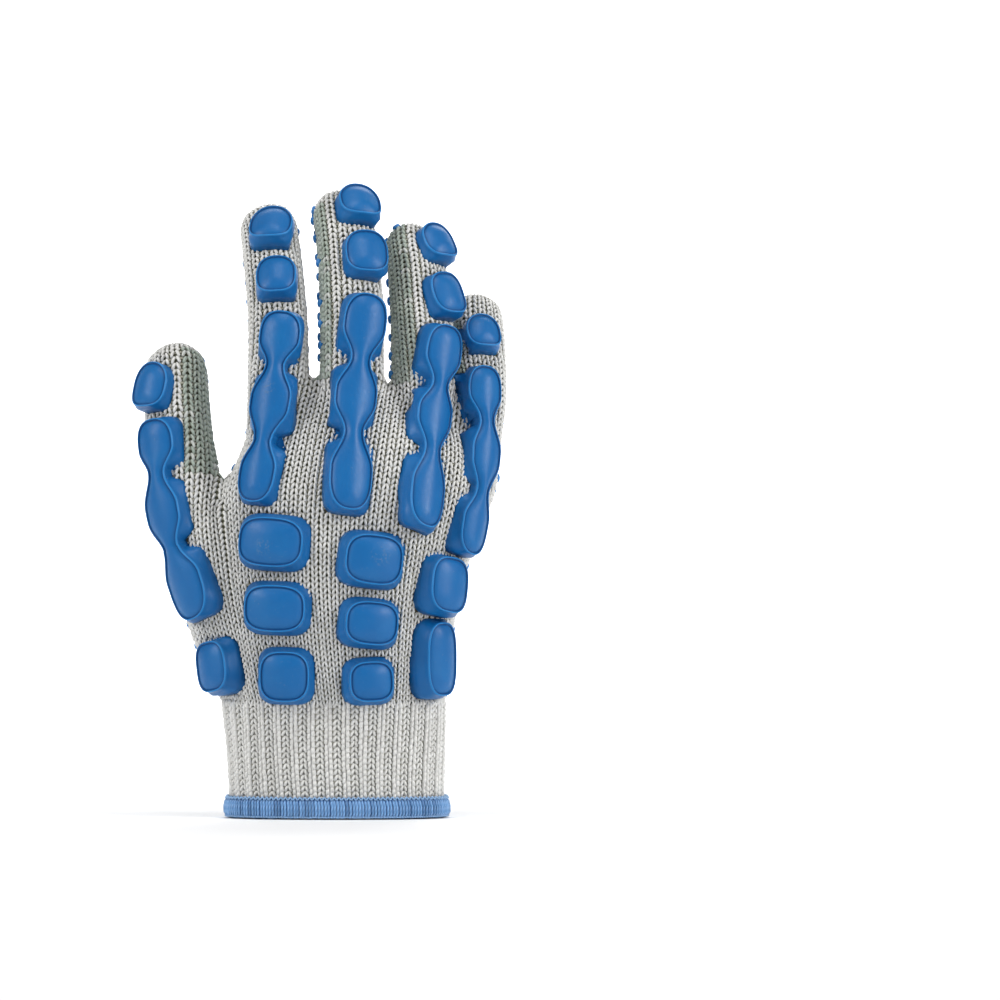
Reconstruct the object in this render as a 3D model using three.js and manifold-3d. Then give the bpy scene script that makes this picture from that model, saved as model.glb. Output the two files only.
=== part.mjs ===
// A knitted work glove for the right hand, with moulded rubber blocks on its back.
// It has the shape that it takes when worn.
// Millimetres. +Z runs from the wrist to the fingertips, the back of the hand faces -Y and the thumb
// points to -X.
// The origin is the middle of the wrist opening, at the lower edge of the bound cuff.
import * as THREE from "three";
import { mergeVertices } from "three/addons/utils/BufferGeometryUtils.js";
import Module from "manifold-3d";

const wasm = await Module();
wasm.setup();

const knitThickness = 2.0;
const seatGap = 0.3; // clearance between touching pieces
const cuffEdgeZ = 1.5; // lower edge of the knit, inside the binding
const ribCount = 32;
const ribDepth = 0.9;
const ribFoot = 9; // the ribs start above the binding
const ribTop = 46;
const fineness = 0.1; // detail smaller than this is smoothed away
const blockRoot = 9; // how far a block's blank reaches below its seat before the hand is cut from it

const colours = { knit: 0xdedbd6, rubber: 0x2277bd, binding: 0x5f93cc };

// Cuff and palm, one row for each section. left, right, back and palm are where the outer face of the
// fabric is, mid is the depth of its side edges, slope tilts a section down towards the little finger, and
// rise is the share of the fabric's thickness that is measured upwards, full in the webs between fingers.
const handSections = [
  { z: cuffEdgeZ, left: -41.7, right: 40.9, back: -21.5, palm: 21.5, mid: 0, slope: 0, rise: 0 },
  { z: ribFoot, left: -41.9, right: 41, back: -21.7, palm: 21.7, mid: 0, slope: 0, rise: 0 },
  { z: 12, left: -42.1, right: 41.1, back: -21.8, palm: 21.8, mid: 0, slope: 0, rise: 0 },
  { z: 26, left: -43, right: 41.4, back: -22.5, palm: 22, mid: 0, slope: 0, rise: 0 },
  { z: 40, left: -44.6, right: 41.6, back: -23.5, palm: 22, mid: 0, slope: 0, rise: 0 },
  { z: 48, left: -45.4, right: 41.8, back: -24.5, palm: 22, mid: 0, slope: 0, rise: 0 },
  { z: 70, left: -46, right: 44, back: -27, palm: 22, mid: 0, slope: 0, rise: 0 },
  { z: 90, left: -47, right: 48, back: -29, palm: 21.5, mid: 0, slope: 0, rise: 0 },
  { z: 110, left: -47.5, right: 53, back: -29, palm: 20, mid: 1, slope: -0.03, rise: 0 },
  { z: 128, left: -47, right: 57.5, back: -27.5, palm: 18.5, mid: 2, slope: -0.08, rise: 0 },
  { z: 138, left: -40.3, right: 60, back: -25, palm: 17.6, mid: 2, slope: -0.12, rise: 0 },
  { z: 150, left: -36, right: 61.5, back: -21, palm: 15.2, mid: 2, slope: -0.18, rise: 0 },
  { z: 160, left: -34.4, right: 62, back: -14.5, palm: 11.6, mid: 1, slope: -0.23, rise: 0.4 },
  { z: 165.5, left: -32, right: 60, back: -7.5, palm: 8, mid: 0.5, slope: -0.25, rise: 0.8 },
  { z: 168.4, left: -28, right: 57, back: -2.6, palm: 3.6, mid: 0.5, slope: -0.25, rise: 1 },
];
// how far the slope steepens towards the little finger and falls again at the index finger
const knuckleBow = 0.031;
const thinnest = 0.4;

// The digits. roll turns the back of the finger away from straight ahead, each row is one section of it.
const digits = {
  thumb: {
    roll: -38,
    sections: [
      { x: -30, y: 1, z: 45, width: 25, depth: 25 },
      { x: -39, y: 0, z: 66, width: 28.5, depth: 29 },
      { x: -45.5, y: 0, z: 87, width: 29.5, depth: 30 },
      { x: -52.5, y: 1, z: 110, width: 28.6, depth: 28 },
      { x: -59.4, y: 5, z: 134, width: 26.6, depth: 25.6 },
      { x: -61.8, y: 10, z: 153, width: 25.6, depth: 24.4 },
      { x: -63, y: 16, z: 172, width: 25, depth: 22.6 },
    ],
  },
  index: {
    roll: -12,
    sections: [
      { x: -21.3, y: 1, z: 118, width: 24, depth: 23 },
      { x: -22.9, y: -4, z: 142, width: 24.5, depth: 24 },
      { x: -22.8, y: -3.5, z: 167, width: 23.8, depth: 23 },
      { x: -23.1, y: 3, z: 192, width: 23, depth: 22 },
      { x: -25.4, y: 13, z: 214.5, width: 22.8, depth: 20.5 },
      { x: -27.3, y: 23, z: 228, width: 22.6, depth: 19 },
    ],
  },
  middle: {
    roll: 14,
    sections: [
      { x: 7, y: -2, z: 118, width: 24, depth: 23 },
      { x: 5.4, y: -7, z: 146, width: 25, depth: 24 },
      { x: 5.4, y: -5.5, z: 169, width: 25, depth: 23.5 },
      { x: 5.1, y: 1, z: 196, width: 24.8, depth: 22.5 },
      { x: 3.6, y: 11, z: 219, width: 24.2, depth: 21 },
      { x: 1.2, y: 20, z: 233, width: 23.6, depth: 19.5 },
    ],
  },
  ring: {
    roll: 38,
    sections: [
      { x: 30, y: 2, z: 112, width: 23, depth: 23 },
      { x: 31.6, y: -1, z: 138, width: 24.5, depth: 24 },
      { x: 32.4, y: 0.5, z: 161, width: 24.5, depth: 23.5 },
      { x: 32.2, y: 6, z: 186, width: 24.6, depth: 22.5 },
      { x: 30.6, y: 15, z: 208, width: 24, depth: 21 },
      { x: 28.6, y: 23, z: 220, width: 23.2, depth: 19.5 },
    ],
  },
  little: {
    roll: 30,
    sections: [
      { x: 40, y: 2, z: 98, width: 18, depth: 18 },
      { x: 48.6, y: 3.5, z: 126, width: 20.8, depth: 21 },
      { x: 52.4, y: 7, z: 149, width: 21, depth: 21 },
      { x: 53.1, y: 11, z: 167, width: 20.8, depth: 20 },
      { x: 52.9, y: 17, z: 182, width: 20.6, depth: 19 },
      { x: 52.2, y: 23, z: 193.5, width: 20.4, depth: 18 },
    ],
  },
};
// the fingers are flattened under their blocks: 2 would be an ellipse, more is squarer
const backFullness = 2.7;
const palmFullness = 2.1;

// The moulded blocks. x and z place the middle of a lobe's top face as seen from the front, turn and lift
// aim that face to the right and up, and length and width are its size. lean turns the length axis,
// clockwise as seen from outside.
const blockKinds = {
  tip: { height: 5, draft: 0.9, crown: 1.0, bend: 24, upperRound: 2.3 },
  joint: { height: 5.4, draft: 1.0, crown: 0.9, bend: 26 },
  finger: { height: 5.7, draft: 1.2, crown: 0.9, bend: 26 },
  back: { height: 6.4, draft: 2.1, crown: 0.9, bend: 46 },
};
const blocks = {
  pad_thumb_tip: {
    kind: "tip",
    lobes: [{ x: -73.8, z: 167.6, length: 17.6, width: 15.2, turn: -37, lift: 20, lean: -2 }],
  },
  pad_thumb_long: {
    kind: "finger",
    lobes: [
      { x: -71.3, z: 145, length: 18.5, width: 15.8, turn: -35, lift: 10 },
      { x: -68.5, z: 118, length: 24.5, width: 15.8, turn: -39, lift: 4 },
      { x: -59.9, z: 90.4, length: 27, width: 17.4, turn: -43, lift: 0 },
    ],
  },
  pad_index_tip: {
    kind: "tip",
    lobes: [{ x: -26.4, z: 231, length: 16.2, width: 16.2, turn: -12, lift: 46, lean: -3 }],
  },
  pad_index_joint: {
    kind: "joint",
    lobes: [{ x: -24, z: 210.2, length: 15.6, width: 14.8, turn: -7, lift: 32, lean: -3 }],
  },
  pad_index_long: {
    kind: "finger",
    lobes: [
      { x: -22.2, z: 186.4, length: 18.4, width: 15.4, turn: -7, lift: 14 },
      { x: -26.3, z: 160, length: 23.4, width: 15.8, turn: -19, lift: 5 },
      { x: -31.3, z: 132.4, length: 22, width: 14.6, turn: -25, lift: 3 },
    ],
  },
  pad_middle_tip: {
    kind: "tip",
    lobes: [{ x: 8.9, z: 239.8, length: 15.4, width: 16, turn: 24, lift: 44, lean: 8 }],
  },
  pad_middle_joint: {
    kind: "joint",
    lobes: [{ x: 11.6, z: 219.2, length: 17.6, width: 16, turn: 14, lift: 30, lean: 3 }],
  },
  pad_middle_long: {
    kind: "finger",
    lobes: [
      { x: 11.2, z: 191.2, length: 22.4, width: 16.2, turn: 15, lift: 14 },
      { x: 7.7, z: 162, length: 23.4, width: 16, turn: 15, lift: 4 },
      { x: 6, z: 131.4, length: 27.4, width: 16.2, turn: 15, lift: 2 },
    ],
  },
  pad_ring_tip: {
    kind: "tip",
    lobes: [{ x: 39.9, z: 224.2, length: 15.2, width: 14.6, turn: 43, lift: 36, lean: 6 }],
  },
  pad_ring_joint: {
    kind: "joint",
    lobes: [{ x: 43.6, z: 203.2, length: 16.8, width: 15, turn: 42, lift: 26, lean: 2 }],
  },
  pad_ring_long: {
    kind: "finger",
    lobes: [
      { x: 42, z: 180, length: 21, width: 15.4, turn: 36, lift: 12 },
      { x: 38.4, z: 155, length: 21.8, width: 15, turn: 34, lift: 4 },
      { x: 35.8, z: 124.6, length: 27.6, width: 15.2, turn: 36, lift: 1 },
    ],
  },
  pad_little_tip: {
    kind: "tip",
    lobes: [{ x: 56.8, z: 188.8, length: 13.6, width: 13.4, turn: 25, lift: 31, lean: 4 }],
  },
  pad_little_long: {
    kind: "finger",
    lobes: [
      { x: 57.4, z: 165, length: 18.6, width: 13.2, turn: 26, lift: 12 },
      { x: 58.2, z: 139.4, length: 21.4, width: 12.8, turn: 38, lift: 4 },
      { x: 54, z: 112.7, length: 22.2, width: 13.2, turn: 46, lift: 0 },
    ],
  },
  pad_back_index_1: {
    kind: "back",
    lobes: [{ x: -25.8, z: 106.5, length: 18, width: 24.8, turn: -15, lift: 3, lean: 4 }],
  },
  pad_back_index_2: {
    kind: "back",
    lobes: [{ x: -24.1, z: 81, length: 17, width: 23, turn: -11, lift: 0, lean: 2 }],
  },
  pad_back_index_3: {
    kind: "back",
    lobes: [{ x: -20.2, z: 54.8, length: 18.4, width: 18.4, turn: -7, lift: -2, lean: 1 }],
  },
  pad_back_ring_1: {
    kind: "back",
    lobes: [{ x: 15, z: 99.8, length: 18.2, width: 21.8, turn: 15, lift: 2, lean: 7 }],
  },
  pad_back_ring_2: {
    kind: "back",
    lobes: [{ x: 14.1, z: 75.4, length: 15.8, width: 19.8, turn: 15, lift: 1, lean: 5 }],
  },
  pad_back_ring_3: {
    kind: "back",
    lobes: [{ x: 13.8, z: 53, length: 14.6, width: 16.4, turn: 14, lift: 0, lean: -2 }],
  },
  pad_back_little_1: {
    kind: "back",
    lobes: [{ x: 44.3, z: 90, length: 20.6, width: 17.4, turn: 42, lift: 4, lean: 10 }],
  },
  pad_back_little_2: {
    kind: "back",
    lobes: [{ x: 41.3, z: 61.4, length: 27.4, width: 15, turn: 48, lift: 0, lean: 0 }],
  },
  pad_thumb_base: {
    kind: "back",
    lobes: [{ x: -49.4, z: 58.4, length: 18.6, width: 15.6, turn: -46, lift: 0, lean: -10 }],
  },
};

// Half of a lobe's outline: shares of its half length and half width, from its middle to its end.
const lobeOutline = [
  { along: 0, across: 1 },
  { along: 0.67, across: 0.975 },
  { along: 0.87, across: 0.87 },
  { along: 0.97, across: 0.66 },
  { along: 1, across: 0 },
];
// where a lobe passes into the narrow neck before the next one
const neck = { along: 1.02, across: 0.42 };

const radians = (degrees) => THREE.MathUtils.degToRad(degrees);
const lerp = THREE.MathUtils.lerp;

// A solid from rings of points, one above the other. Its ends close on their middle, or the upper one with
// a strip from side to side where the last ring is long and thin.
function solidFromRings(rings, stripOnTop = false) {
  const count = rings[0].length;
  const middle = (ring) => ring.reduce((sum, p) => sum.add(p), new THREE.Vector3()).divideScalar(count);
  const points = [...rings.flat(), middle(rings[0]), middle(rings.at(-1))];
  const last = (rings.length - 1) * count;
  const faces = [];
  for (let i = 0; i < count; i++) {
    const next = (i + 1) % count;
    for (let r = 0; r + 1 < rings.length; r++) {
      const low = r * count;
      const high = low + count;
      faces.push([low + i, low + next, high + next], [low + i, high + next, high + i]);
    }
    faces.push([rings.length * count, next, i]);
    if (!stripOnTop) faces.push([rings.length * count + 1, last + i, last + next]);
  }
  for (let i = 0; stripOnTop && i < count / 2; i++) {
    const [a, b] = [last + i, last + i + 1];
    const [c, d] = [last + count - i - 1, last + ((count - i) % count)];
    faces.push([a, b, c], [a, c, d]);
  }
  return weldedSolid(points, faces);
}

function weldedSolid(points, faces) {
  const geometry = new THREE.BufferGeometry().setFromPoints(points);
  geometry.setIndex(faces.flat());
  const merged = mergeVertices(geometry, 1e-3);
  const index = merged.index.array;
  const kept = [];
  for (let i = 0; i < index.length; i += 3) {
    const [a, b, c] = index.slice(i, i + 3);
    if (a !== b && b !== c && c !== a) kept.push(a, b, c);
  }
  const mesh = new wasm.Mesh({
    numProp: 3,
    vertProperties: merged.attributes.position.array,
    triVerts: new Uint32Array(kept),
  });
  return new wasm.Manifold(mesh);
}

function meshOf(solid, name, colour, roughness) {
  const { numProp, vertProperties, triVerts } = solid.getMesh();
  const positions = [];
  for (let i = 0; i < vertProperties.length; i += numProp) {
    positions.push(...vertProperties.slice(i, i + 3));
  }
  const geometry = new THREE.BufferGeometry();
  geometry.setAttribute("position", new THREE.Float32BufferAttribute(positions, 3));
  geometry.setIndex([...triVerts]);
  geometry.computeVertexNormals();
  const material = new THREE.MeshStandardMaterial({ color: colour, roughness, metalness: 0 });
  const mesh = new THREE.Mesh(geometry, material);
  mesh.name = name;
  return mesh;
}

// One closed section of the hand: two half superellipses, a fuller one towards the palm.
function handRing(section, offset, count, ribs) {
  const centre = (section.left + section.right) / 2;
  const half = (section.right - section.left) / 2;
  const ring = [];
  for (let i = 0; i < count; i++) {
    const angle = (i / count) * 2 * Math.PI;
    const towardsPalm = Math.sin(angle) > 0;
    const power = 2 / (towardsPalm ? 2.5 : 2.15);
    const face = towardsPalm ? section.palm : section.back;
    const reach = Math.max(Math.abs(face - section.mid) + offset, thinnest);
    const groove = ribs && i % 2 ? ribDepth : 0;
    const sideways = Math.sign(Math.cos(angle)) * Math.abs(Math.cos(angle)) ** power;
    const across = sideways * (half + offset - groove);
    const deep = Math.sign(Math.sin(angle)) * Math.abs(Math.sin(angle)) ** power * (reach - groove);
    const tilt = section.slope * (sideways * half + knuckleBow * (sideways * half) ** 2);
    const z = section.z + tilt + section.rise * offset;
    ring.push(new THREE.Vector3(centre + across, section.mid + deep, z));
  }
  return ring;
}

function handSolid(offset, count, ribbed, lowest) {
  const rings = handSections.map((section) => {
    const ribs = ribbed && section.z > ribFoot && section.z < ribTop;
    return handRing(section, offset, count, ribs);
  });
  if (lowest !== undefined) rings.unshift(rings[0].map((p) => new THREE.Vector3(p.x, p.y, lowest)));
  return solidFromRings(rings, true);
}

// A finger: elliptical sections along a smooth line, ended by a rounded tip.
function digitSolid(digit, offset, count, steps) {
  const rows = digit.sections;
  const line = new THREE.CatmullRomCurve3(rows.map((r) => new THREE.Vector3(r.x, r.y, r.z)));
  const facing = new THREE.Vector3(Math.sin(radians(digit.roll)), -Math.cos(radians(digit.roll)), 0);
  const rings = [];
  const addRing = (centre, tangent, halfWidth, halfDepth) => {
    const normal = facing.clone().addScaledVector(tangent, -facing.dot(tangent)).normalize();
    const side = new THREE.Vector3().crossVectors(normal, tangent);
    const ring = [];
    for (let i = 0; i < count; i++) {
      const angle = (i / count) * 2 * Math.PI;
      const [cos, sin] = [Math.cos(angle), Math.sin(angle)];
      const power = 2 / (sin > 0 ? backFullness : palmFullness);
      const across = Math.sign(cos) * Math.abs(cos) ** power * halfWidth;
      const deep = Math.sign(sin) * Math.abs(sin) ** power * halfDepth;
      ring.push(centre.clone().addScaledVector(side, across).addScaledVector(normal, deep));
    }
    rings.push(ring);
  };
  for (let s = 0; s <= steps; s++) {
    const t = s / steps;
    const along = t * (rows.length - 1);
    const row = Math.min(Math.floor(along), rows.length - 2);
    const width = lerp(rows[row].width, rows[row + 1].width, along - row);
    const depth = lerp(rows[row].depth, rows[row + 1].depth, along - row);
    addRing(line.getPoint(t), line.getTangent(t), width / 2 + offset, depth / 2 + offset);
  }
  const tip = rows.at(-1);
  const end = line.getPoint(1);
  const tangent = line.getTangent(1);
  const tipReach = (tip.width + tip.depth) / 4 + offset;
  for (const angle of [30, 58, 80]) {
    const centre = end.clone().addScaledVector(tangent, tipReach * Math.sin(radians(angle)));
    const shrink = Math.cos(radians(angle));
    addRing(centre, tangent, (tip.width / 2 + offset) * shrink, (tip.depth / 2 + offset) * shrink);
  }
  return solidFromRings(rings);
}

function gloveBody(offset, { handCount, digitCount, digitSteps, ribbed = false, lowest }) {
  const fingers = Object.values(digits).map((digit) => digitSolid(digit, offset, digitCount, digitSteps));
  return fingers.reduce((body, finger) => body.add(finger), handSolid(offset, handCount, ribbed, lowest));
}

const openBelow = -5; // the hollow and the seats are carried down past the cuff's edge
const around = { handCount: ribCount * 2, digitCount: 14, digitSteps: 8 };
const outer = gloveBody(0, { ...around, ribbed: true });
const within = { handCount: 26, digitCount: 10, digitSteps: 6 };
const hollow = gloveBody(-knitThickness, { ...within, lowest: openBelow });
const knit = outer.subtract(hollow);
const seatBody = gloveBody(seatGap, { ...around, lowest: openBelow });

const outerMesh = meshOf(outer, "outer", colours.knit, 1);
outerMesh.updateMatrixWorld(true);

// Where a line of sight from the front first meets the back of the hand.
function seatAt(x, z) {
  const farInFront = -200;
  const start = new THREE.Vector3(x, farInFront, z);
  const ray = new THREE.Raycaster(start, new THREE.Vector3(0, 1, 0));
  const [hit] = ray.intersectObject(outerMesh);
  if (!hit) throw new Error(`no fabric at x ${x.toFixed(1)}, z ${z.toFixed(1)}`);
  return hit.point;
}

function facingOf({ turn, lift }) {
  const flat = Math.cos(radians(lift));
  const right = Math.sin(radians(turn)) * flat;
  const back = -Math.cos(radians(turn)) * flat;
  return new THREE.Vector3(right, back, Math.sin(radians(lift)));
}

// The line that a block follows over the fabric, with its facing: straight for one lobe, through the lobes
// for more.
function blockPath(block, height) {
  const rows = block.lobes.map((lobe) => {
    const facing = facingOf(lobe);
    const seat = seatAt(lobe.x - height * facing.x, lobe.z - height * facing.z);
    return { lobe, facing, seat };
  });
  const first = rows[0];
  const last = rows.at(-1);
  let stretch;
  if (rows.length === 1) {
    const up = new THREE.Vector3(0, 0, 1).applyAxisAngle(first.facing, radians(-(first.lobe.lean ?? 0)));
    stretch = up.addScaledVector(first.facing, -up.dot(first.facing)).normalize().negate();
  }
  const outwards = (from, to) => stretch ?? to.clone().sub(from).normalize();
  const startWay = outwards(first.seat, rows[1]?.seat ?? first.seat);
  const endWay = outwards(rows.at(-2)?.seat ?? first.seat, last.seat);
  const start = first.seat.clone().addScaledVector(startWay, -first.lobe.length / 2);
  const end = last.seat.clone().addScaledVector(endWay, last.lobe.length / 2);
  const stops = [
    { point: start, facing: first.facing },
    ...rows.map((r) => ({ point: r.seat, facing: r.facing })),
    { point: end, facing: last.facing },
  ];
  const marks = [0];
  for (let i = 1; i < stops.length; i++) {
    marks.push(marks[i - 1] + stops[i].point.distanceTo(stops[i - 1].point));
  }
  const line = new THREE.CatmullRomCurve3(stops.map((s) => s.point), false, "chordal");
  const total = marks.at(-1);
  const at = (s) => {
    let i = 0;
    while (i < stops.length - 2 && s > marks[i + 1]) i++;
    const share = (s - marks[i]) / (marks[i + 1] - marks[i]);
    const u = THREE.MathUtils.clamp((i + share) / (stops.length - 1), 0, 1);
    const beyond = s - THREE.MathUtils.clamp(s, 0, total);
    const tangent = line.getTangent(u);
    const blend = THREE.MathUtils.clamp(share, 0, 1);
    const facing = stops[i].facing.clone().lerp(stops[i + 1].facing, blend);
    facing.addScaledVector(tangent, -facing.dot(tangent)).normalize();
    const side = new THREE.Vector3().crossVectors(facing, tangent);
    return { point: line.getPoint(u).addScaledVector(tangent, beyond), facing, side };
  };
  return { at, total, middles: marks.slice(1, -1) };
}

// One side of a block's outline, from its upper end to its lower end.
function blockOutline(block, kind, middles) {
  const side = [];
  block.lobes.forEach((lobe, i) => {
    const half = { along: lobe.length / 2, across: lobe.width / 2 };
    const add = (way, { along, across }) => {
      side.push({ s: middles[i] + way * along * half.along, b: across * half.across });
    };
    const rounded = (way) => {
      const power = way < 0 && kind.upperRound;
      if (!power) return lobeOutline;
      return lobeOutline.map((p) => ({ ...p, across: (1 - p.along ** power) ** (1 / power) }));
    };
    const joined = [...lobeOutline.slice(0, 3), neck];
    const upper = i > 0 ? joined : rounded(-1);
    const lower = i < block.lobes.length - 1 ? joined : rounded(1);
    for (const p of upper.slice(1).reverse()) add(-1, p);
    for (const p of lower) add(1, p);
  });
  return side;
}

function blockBlank(block) {
  const kind = blockKinds[block.kind];
  const { at, total, middles } = blockPath(block, kind.height);
  const right = blockOutline(block, kind, middles);
  const widest = Math.max(...right.map((p) => p.b));
  const endReach = Math.min(widest, total / 2) * 0.8;
  const left = right.map((p) => ({ s: p.s, b: -p.b }));
  const loop = [...left, ...right.slice(1, -1).reverse()].map((p) => {
    const spine = THREE.MathUtils.clamp(p.s, endReach, total - endReach);
    return { ...p, spine, reach: Math.hypot(p.s - spine, p.b) };
  });
  // Each level moves the outline outwards by grow millimetres, or in to a share of its reach, at height n
  const levels = [
    { keep: 0, n: -blockRoot },
    { grow: kind.draft, n: -blockRoot },
    { grow: kind.draft, n: 0.4 },
    { grow: 0.2, n: kind.height - 0.9 },
    { grow: -0.6, n: kind.height },
    { keep: 0, n: kind.height + kind.crown },
  ];
  const rings = levels.map((level) =>
    loop.map((p) => {
      const keep = level.keep ?? 1 + level.grow / p.reach;
      const s = p.spine + (p.s - p.spine) * keep;
      const b = p.b * keep;
      const frame = at(s);
      const drop = (b * b) / (2 * kind.bend);
      return frame.point.addScaledVector(frame.side, b).addScaledVector(frame.facing, level.n - drop);
    }),
  );
  return solidFromRings(rings);
}

function largestBody(solid) {
  const bodies = solid.simplify(fineness).decompose();
  return bodies.reduce((best, body) => (body.volume() > best.volume() ? body : best));
}

// The bound edge: a soft channel round the cuff that takes the knit's lower edge, as distances out from
// the fabric's outer face.
function cuffBinding() {
  const inside = -knitThickness - seatGap;
  const profile = [
    { out: 0.9, z: 0 },
    { out: 2.5, z: 2 },
    { out: 2.3, z: 6.6 },
    { out: seatGap, z: 8.6 },
    { out: seatGap, z: cuffEdgeZ - seatGap },
    { out: inside, z: cuffEdgeZ - seatGap },
    { out: inside, z: 7.4 },
    { out: inside - 1.3, z: 6 },
    { out: inside - 1.2, z: 0.6 },
  ];
  const edge = handSections[0];
  const count = around.handCount;
  const rings = profile.map(({ out, z }) => handRing({ ...edge, z }, out, count, false));
  const points = rings.flat();
  const faces = [];
  for (let r = 0; r < rings.length; r++) {
    const next = (r + 1) % rings.length;
    for (let i = 0; i < count; i++) {
      const j = (i + 1) % count;
      const [a, b] = [r * count + i, r * count + j];
      const [c, d] = [next * count + j, next * count + i];
      faces.push([a, b, c], [a, c, d]);
    }
  }
  return weldedSolid(points, faces);
}

const glove = new THREE.Group();
glove.name = "impact_glove";
glove.add(meshOf(largestBody(knit), "knit_shell", colours.knit, 0.95));
glove.add(meshOf(cuffBinding(), "cuff_binding", colours.binding, 0.85));
for (const [name, block] of Object.entries(blocks)) {
  const blank = blockBlank(block);
  glove.add(meshOf(largestBody(blank.subtract(seatBody)), name, colours.rubber, 0.5));
}

export default glove;
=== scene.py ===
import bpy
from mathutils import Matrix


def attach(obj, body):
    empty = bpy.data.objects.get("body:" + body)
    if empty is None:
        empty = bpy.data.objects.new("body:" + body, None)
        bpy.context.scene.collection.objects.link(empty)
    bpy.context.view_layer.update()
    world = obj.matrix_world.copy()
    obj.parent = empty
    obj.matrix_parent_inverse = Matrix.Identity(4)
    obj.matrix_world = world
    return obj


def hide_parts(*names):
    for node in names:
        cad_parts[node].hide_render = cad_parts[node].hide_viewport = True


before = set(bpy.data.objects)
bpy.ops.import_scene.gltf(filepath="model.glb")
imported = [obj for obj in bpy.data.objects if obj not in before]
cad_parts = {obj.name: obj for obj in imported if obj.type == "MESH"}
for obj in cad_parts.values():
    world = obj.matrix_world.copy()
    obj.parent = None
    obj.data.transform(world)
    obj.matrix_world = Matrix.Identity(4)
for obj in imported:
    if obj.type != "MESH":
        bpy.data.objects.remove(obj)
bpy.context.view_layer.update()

import math

import bpy
import numpy as np
from mathutils import Vector
from mathutils.bvhtree import BVHTree

mm = 0.001
draw = np.random.default_rng(7)


def selectOnly(obj):
    bpy.ops.object.select_all(action="DESELECT")
    obj.select_set(True)
    bpy.context.view_layer.objects.active = obj


def pointOutwards(piece, merge=0.0):
    selectOnly(piece)
    bpy.ops.object.mode_set(mode="EDIT")
    bpy.ops.mesh.select_all(action="SELECT")
    if merge:
        bpy.ops.mesh.remove_doubles(threshold=merge)
    bpy.ops.mesh.normals_make_consistent(inside=False)
    bpy.ops.object.mode_set(mode="OBJECT")


def ringFaces(rows, count, closed=False):
    # quads between rings of points; closed joins the last ring to the first
    faces = []
    for r in range(rows if closed else rows - 1):
        s = (r + 1) % rows
        for i in range(count):
            j = (i + 1) % count
            faces.append((r * count + i, r * count + j, s * count + j, s * count + i))
    return faces


def unit(v):
    return v / np.maximum(np.linalg.norm(v, axis=-1, keepdims=True), 1e-12)


def meshPiece(name, points, faces, uv=None, bakeUv=None, tint=None):
    # the first map carries the weave, the second is for baking, and the tint marks places for the materials
    mesh = bpy.data.meshes.new(name)
    mesh.from_pydata(np.asarray(points, float).tolist(), [], faces)
    if uv is not None:
        mesh.uv_layers.new(name="weaveUV").data.foreach_set("uv", np.asarray(uv, np.float32).ravel())
    if bakeUv is not None:
        mesh.uv_layers.new(name="OFBake").data.foreach_set("uv", np.asarray(bakeUv, np.float32).ravel())
    if tint is not None:
        shade = mesh.color_attributes.new("tint", "FLOAT_COLOR", "POINT")
        shade.data.foreach_set("color", np.asarray(tint, np.float32).ravel())
    mesh.shade_smooth()
    obj = bpy.data.objects.new(name, mesh)
    bpy.context.scene.collection.objects.link(obj)
    return obj


def dress(obj, material, nodes=()):
    obj.data.materials.clear()
    obj.data.materials.append(material)
    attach(obj, "root")
    if nodes:
        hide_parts(*nodes)
    return obj


# Materials


def newMaterial(name, colour, roughness, **sockets):
    material = bpy.data.materials.new(name)
    material.use_nodes = True
    tree = material.node_tree
    shader = tree.nodes["Principled BSDF"]
    shader.inputs["Base Color"].default_value = (*colour, 1)
    shader.inputs["Roughness"].default_value = roughness
    for socket, value in sockets.items():
        shader.inputs[socket.replace("_", " ")].default_value = value
    return material, tree, shader


def node(tree, kind, inputs=None, **settings):
    made = tree.nodes.new(kind)
    for key, value in settings.items():
        setattr(made, key, value)
    for key, value in (inputs or {}).items():
        socket = made.inputs[key]
        if isinstance(value, bpy.types.NodeSocket):
            tree.links.new(value, socket)
        else:
            socket.default_value = value
    return made


def calc(tree, operation, a, b=0.0, c=0.0, clamp=False):
    return node(tree, "ShaderNodeMath", {0: a, 1: b, 2: c}, operation=operation, use_clamp=clamp).outputs[0]


def mixColour(tree, share, a, b, blend="MIX"):
    made = node(tree, "ShaderNodeMix", data_type="RGBA", blend_type=blend)
    for socket, value in (("Factor_Float", share), ("A_Color", a), ("B_Color", b)):
        target = next(s for s in made.inputs if s.identifier == socket)
        if isinstance(value, bpy.types.NodeSocket):
            tree.links.new(value, target)
        else:
            target.default_value = value if isinstance(value, float) else (*value, 1)
    return next(s for s in made.outputs if s.identifier == "Result_Color")


def noise(tree, place, scale, detail):
    return node(tree, "ShaderNodeTexNoise", {"Vector": place, "Scale": scale, "Detail": detail}).outputs[0]


def between(tree, value, low, high, least=0.0, most=1.0):
    return node(tree, "ShaderNodeMapRange", {0: value, 1: low, 2: high, 3: least, 4: most}).outputs[0]


def sineOf(tree, turns, times=1):
    return calc(tree, "SINE", calc(tree, "MULTIPLY", turns, 2 * math.pi * times))


def tintOf(tree):
    tint = node(tree, "ShaderNodeAttribute", attribute_name="tint", attribute_type="GEOMETRY")
    return node(tree, "ShaderNodeSeparateColor", {0: tint.outputs["Color"]}).outputs


def weaveOf(tree):
    uv = node(tree, "ShaderNodeUVMap", uv_map="weaveUV").outputs[0]
    return node(tree, "ShaderNodeSeparateXYZ", {0: uv}).outputs


def placeOf(tree):
    return node(tree, "ShaderNodeTexCoord").outputs["Object"]


def surface(tree, shader, colour, height, distance, strength):
    bump = node(tree, "ShaderNodeBump", {"Height": height, "Distance": distance, "Strength": strength})
    tree.links.new(bump.outputs[0], shader.inputs["Normal"])
    tree.links.new(colour, shader.inputs["Base Color"])


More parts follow.
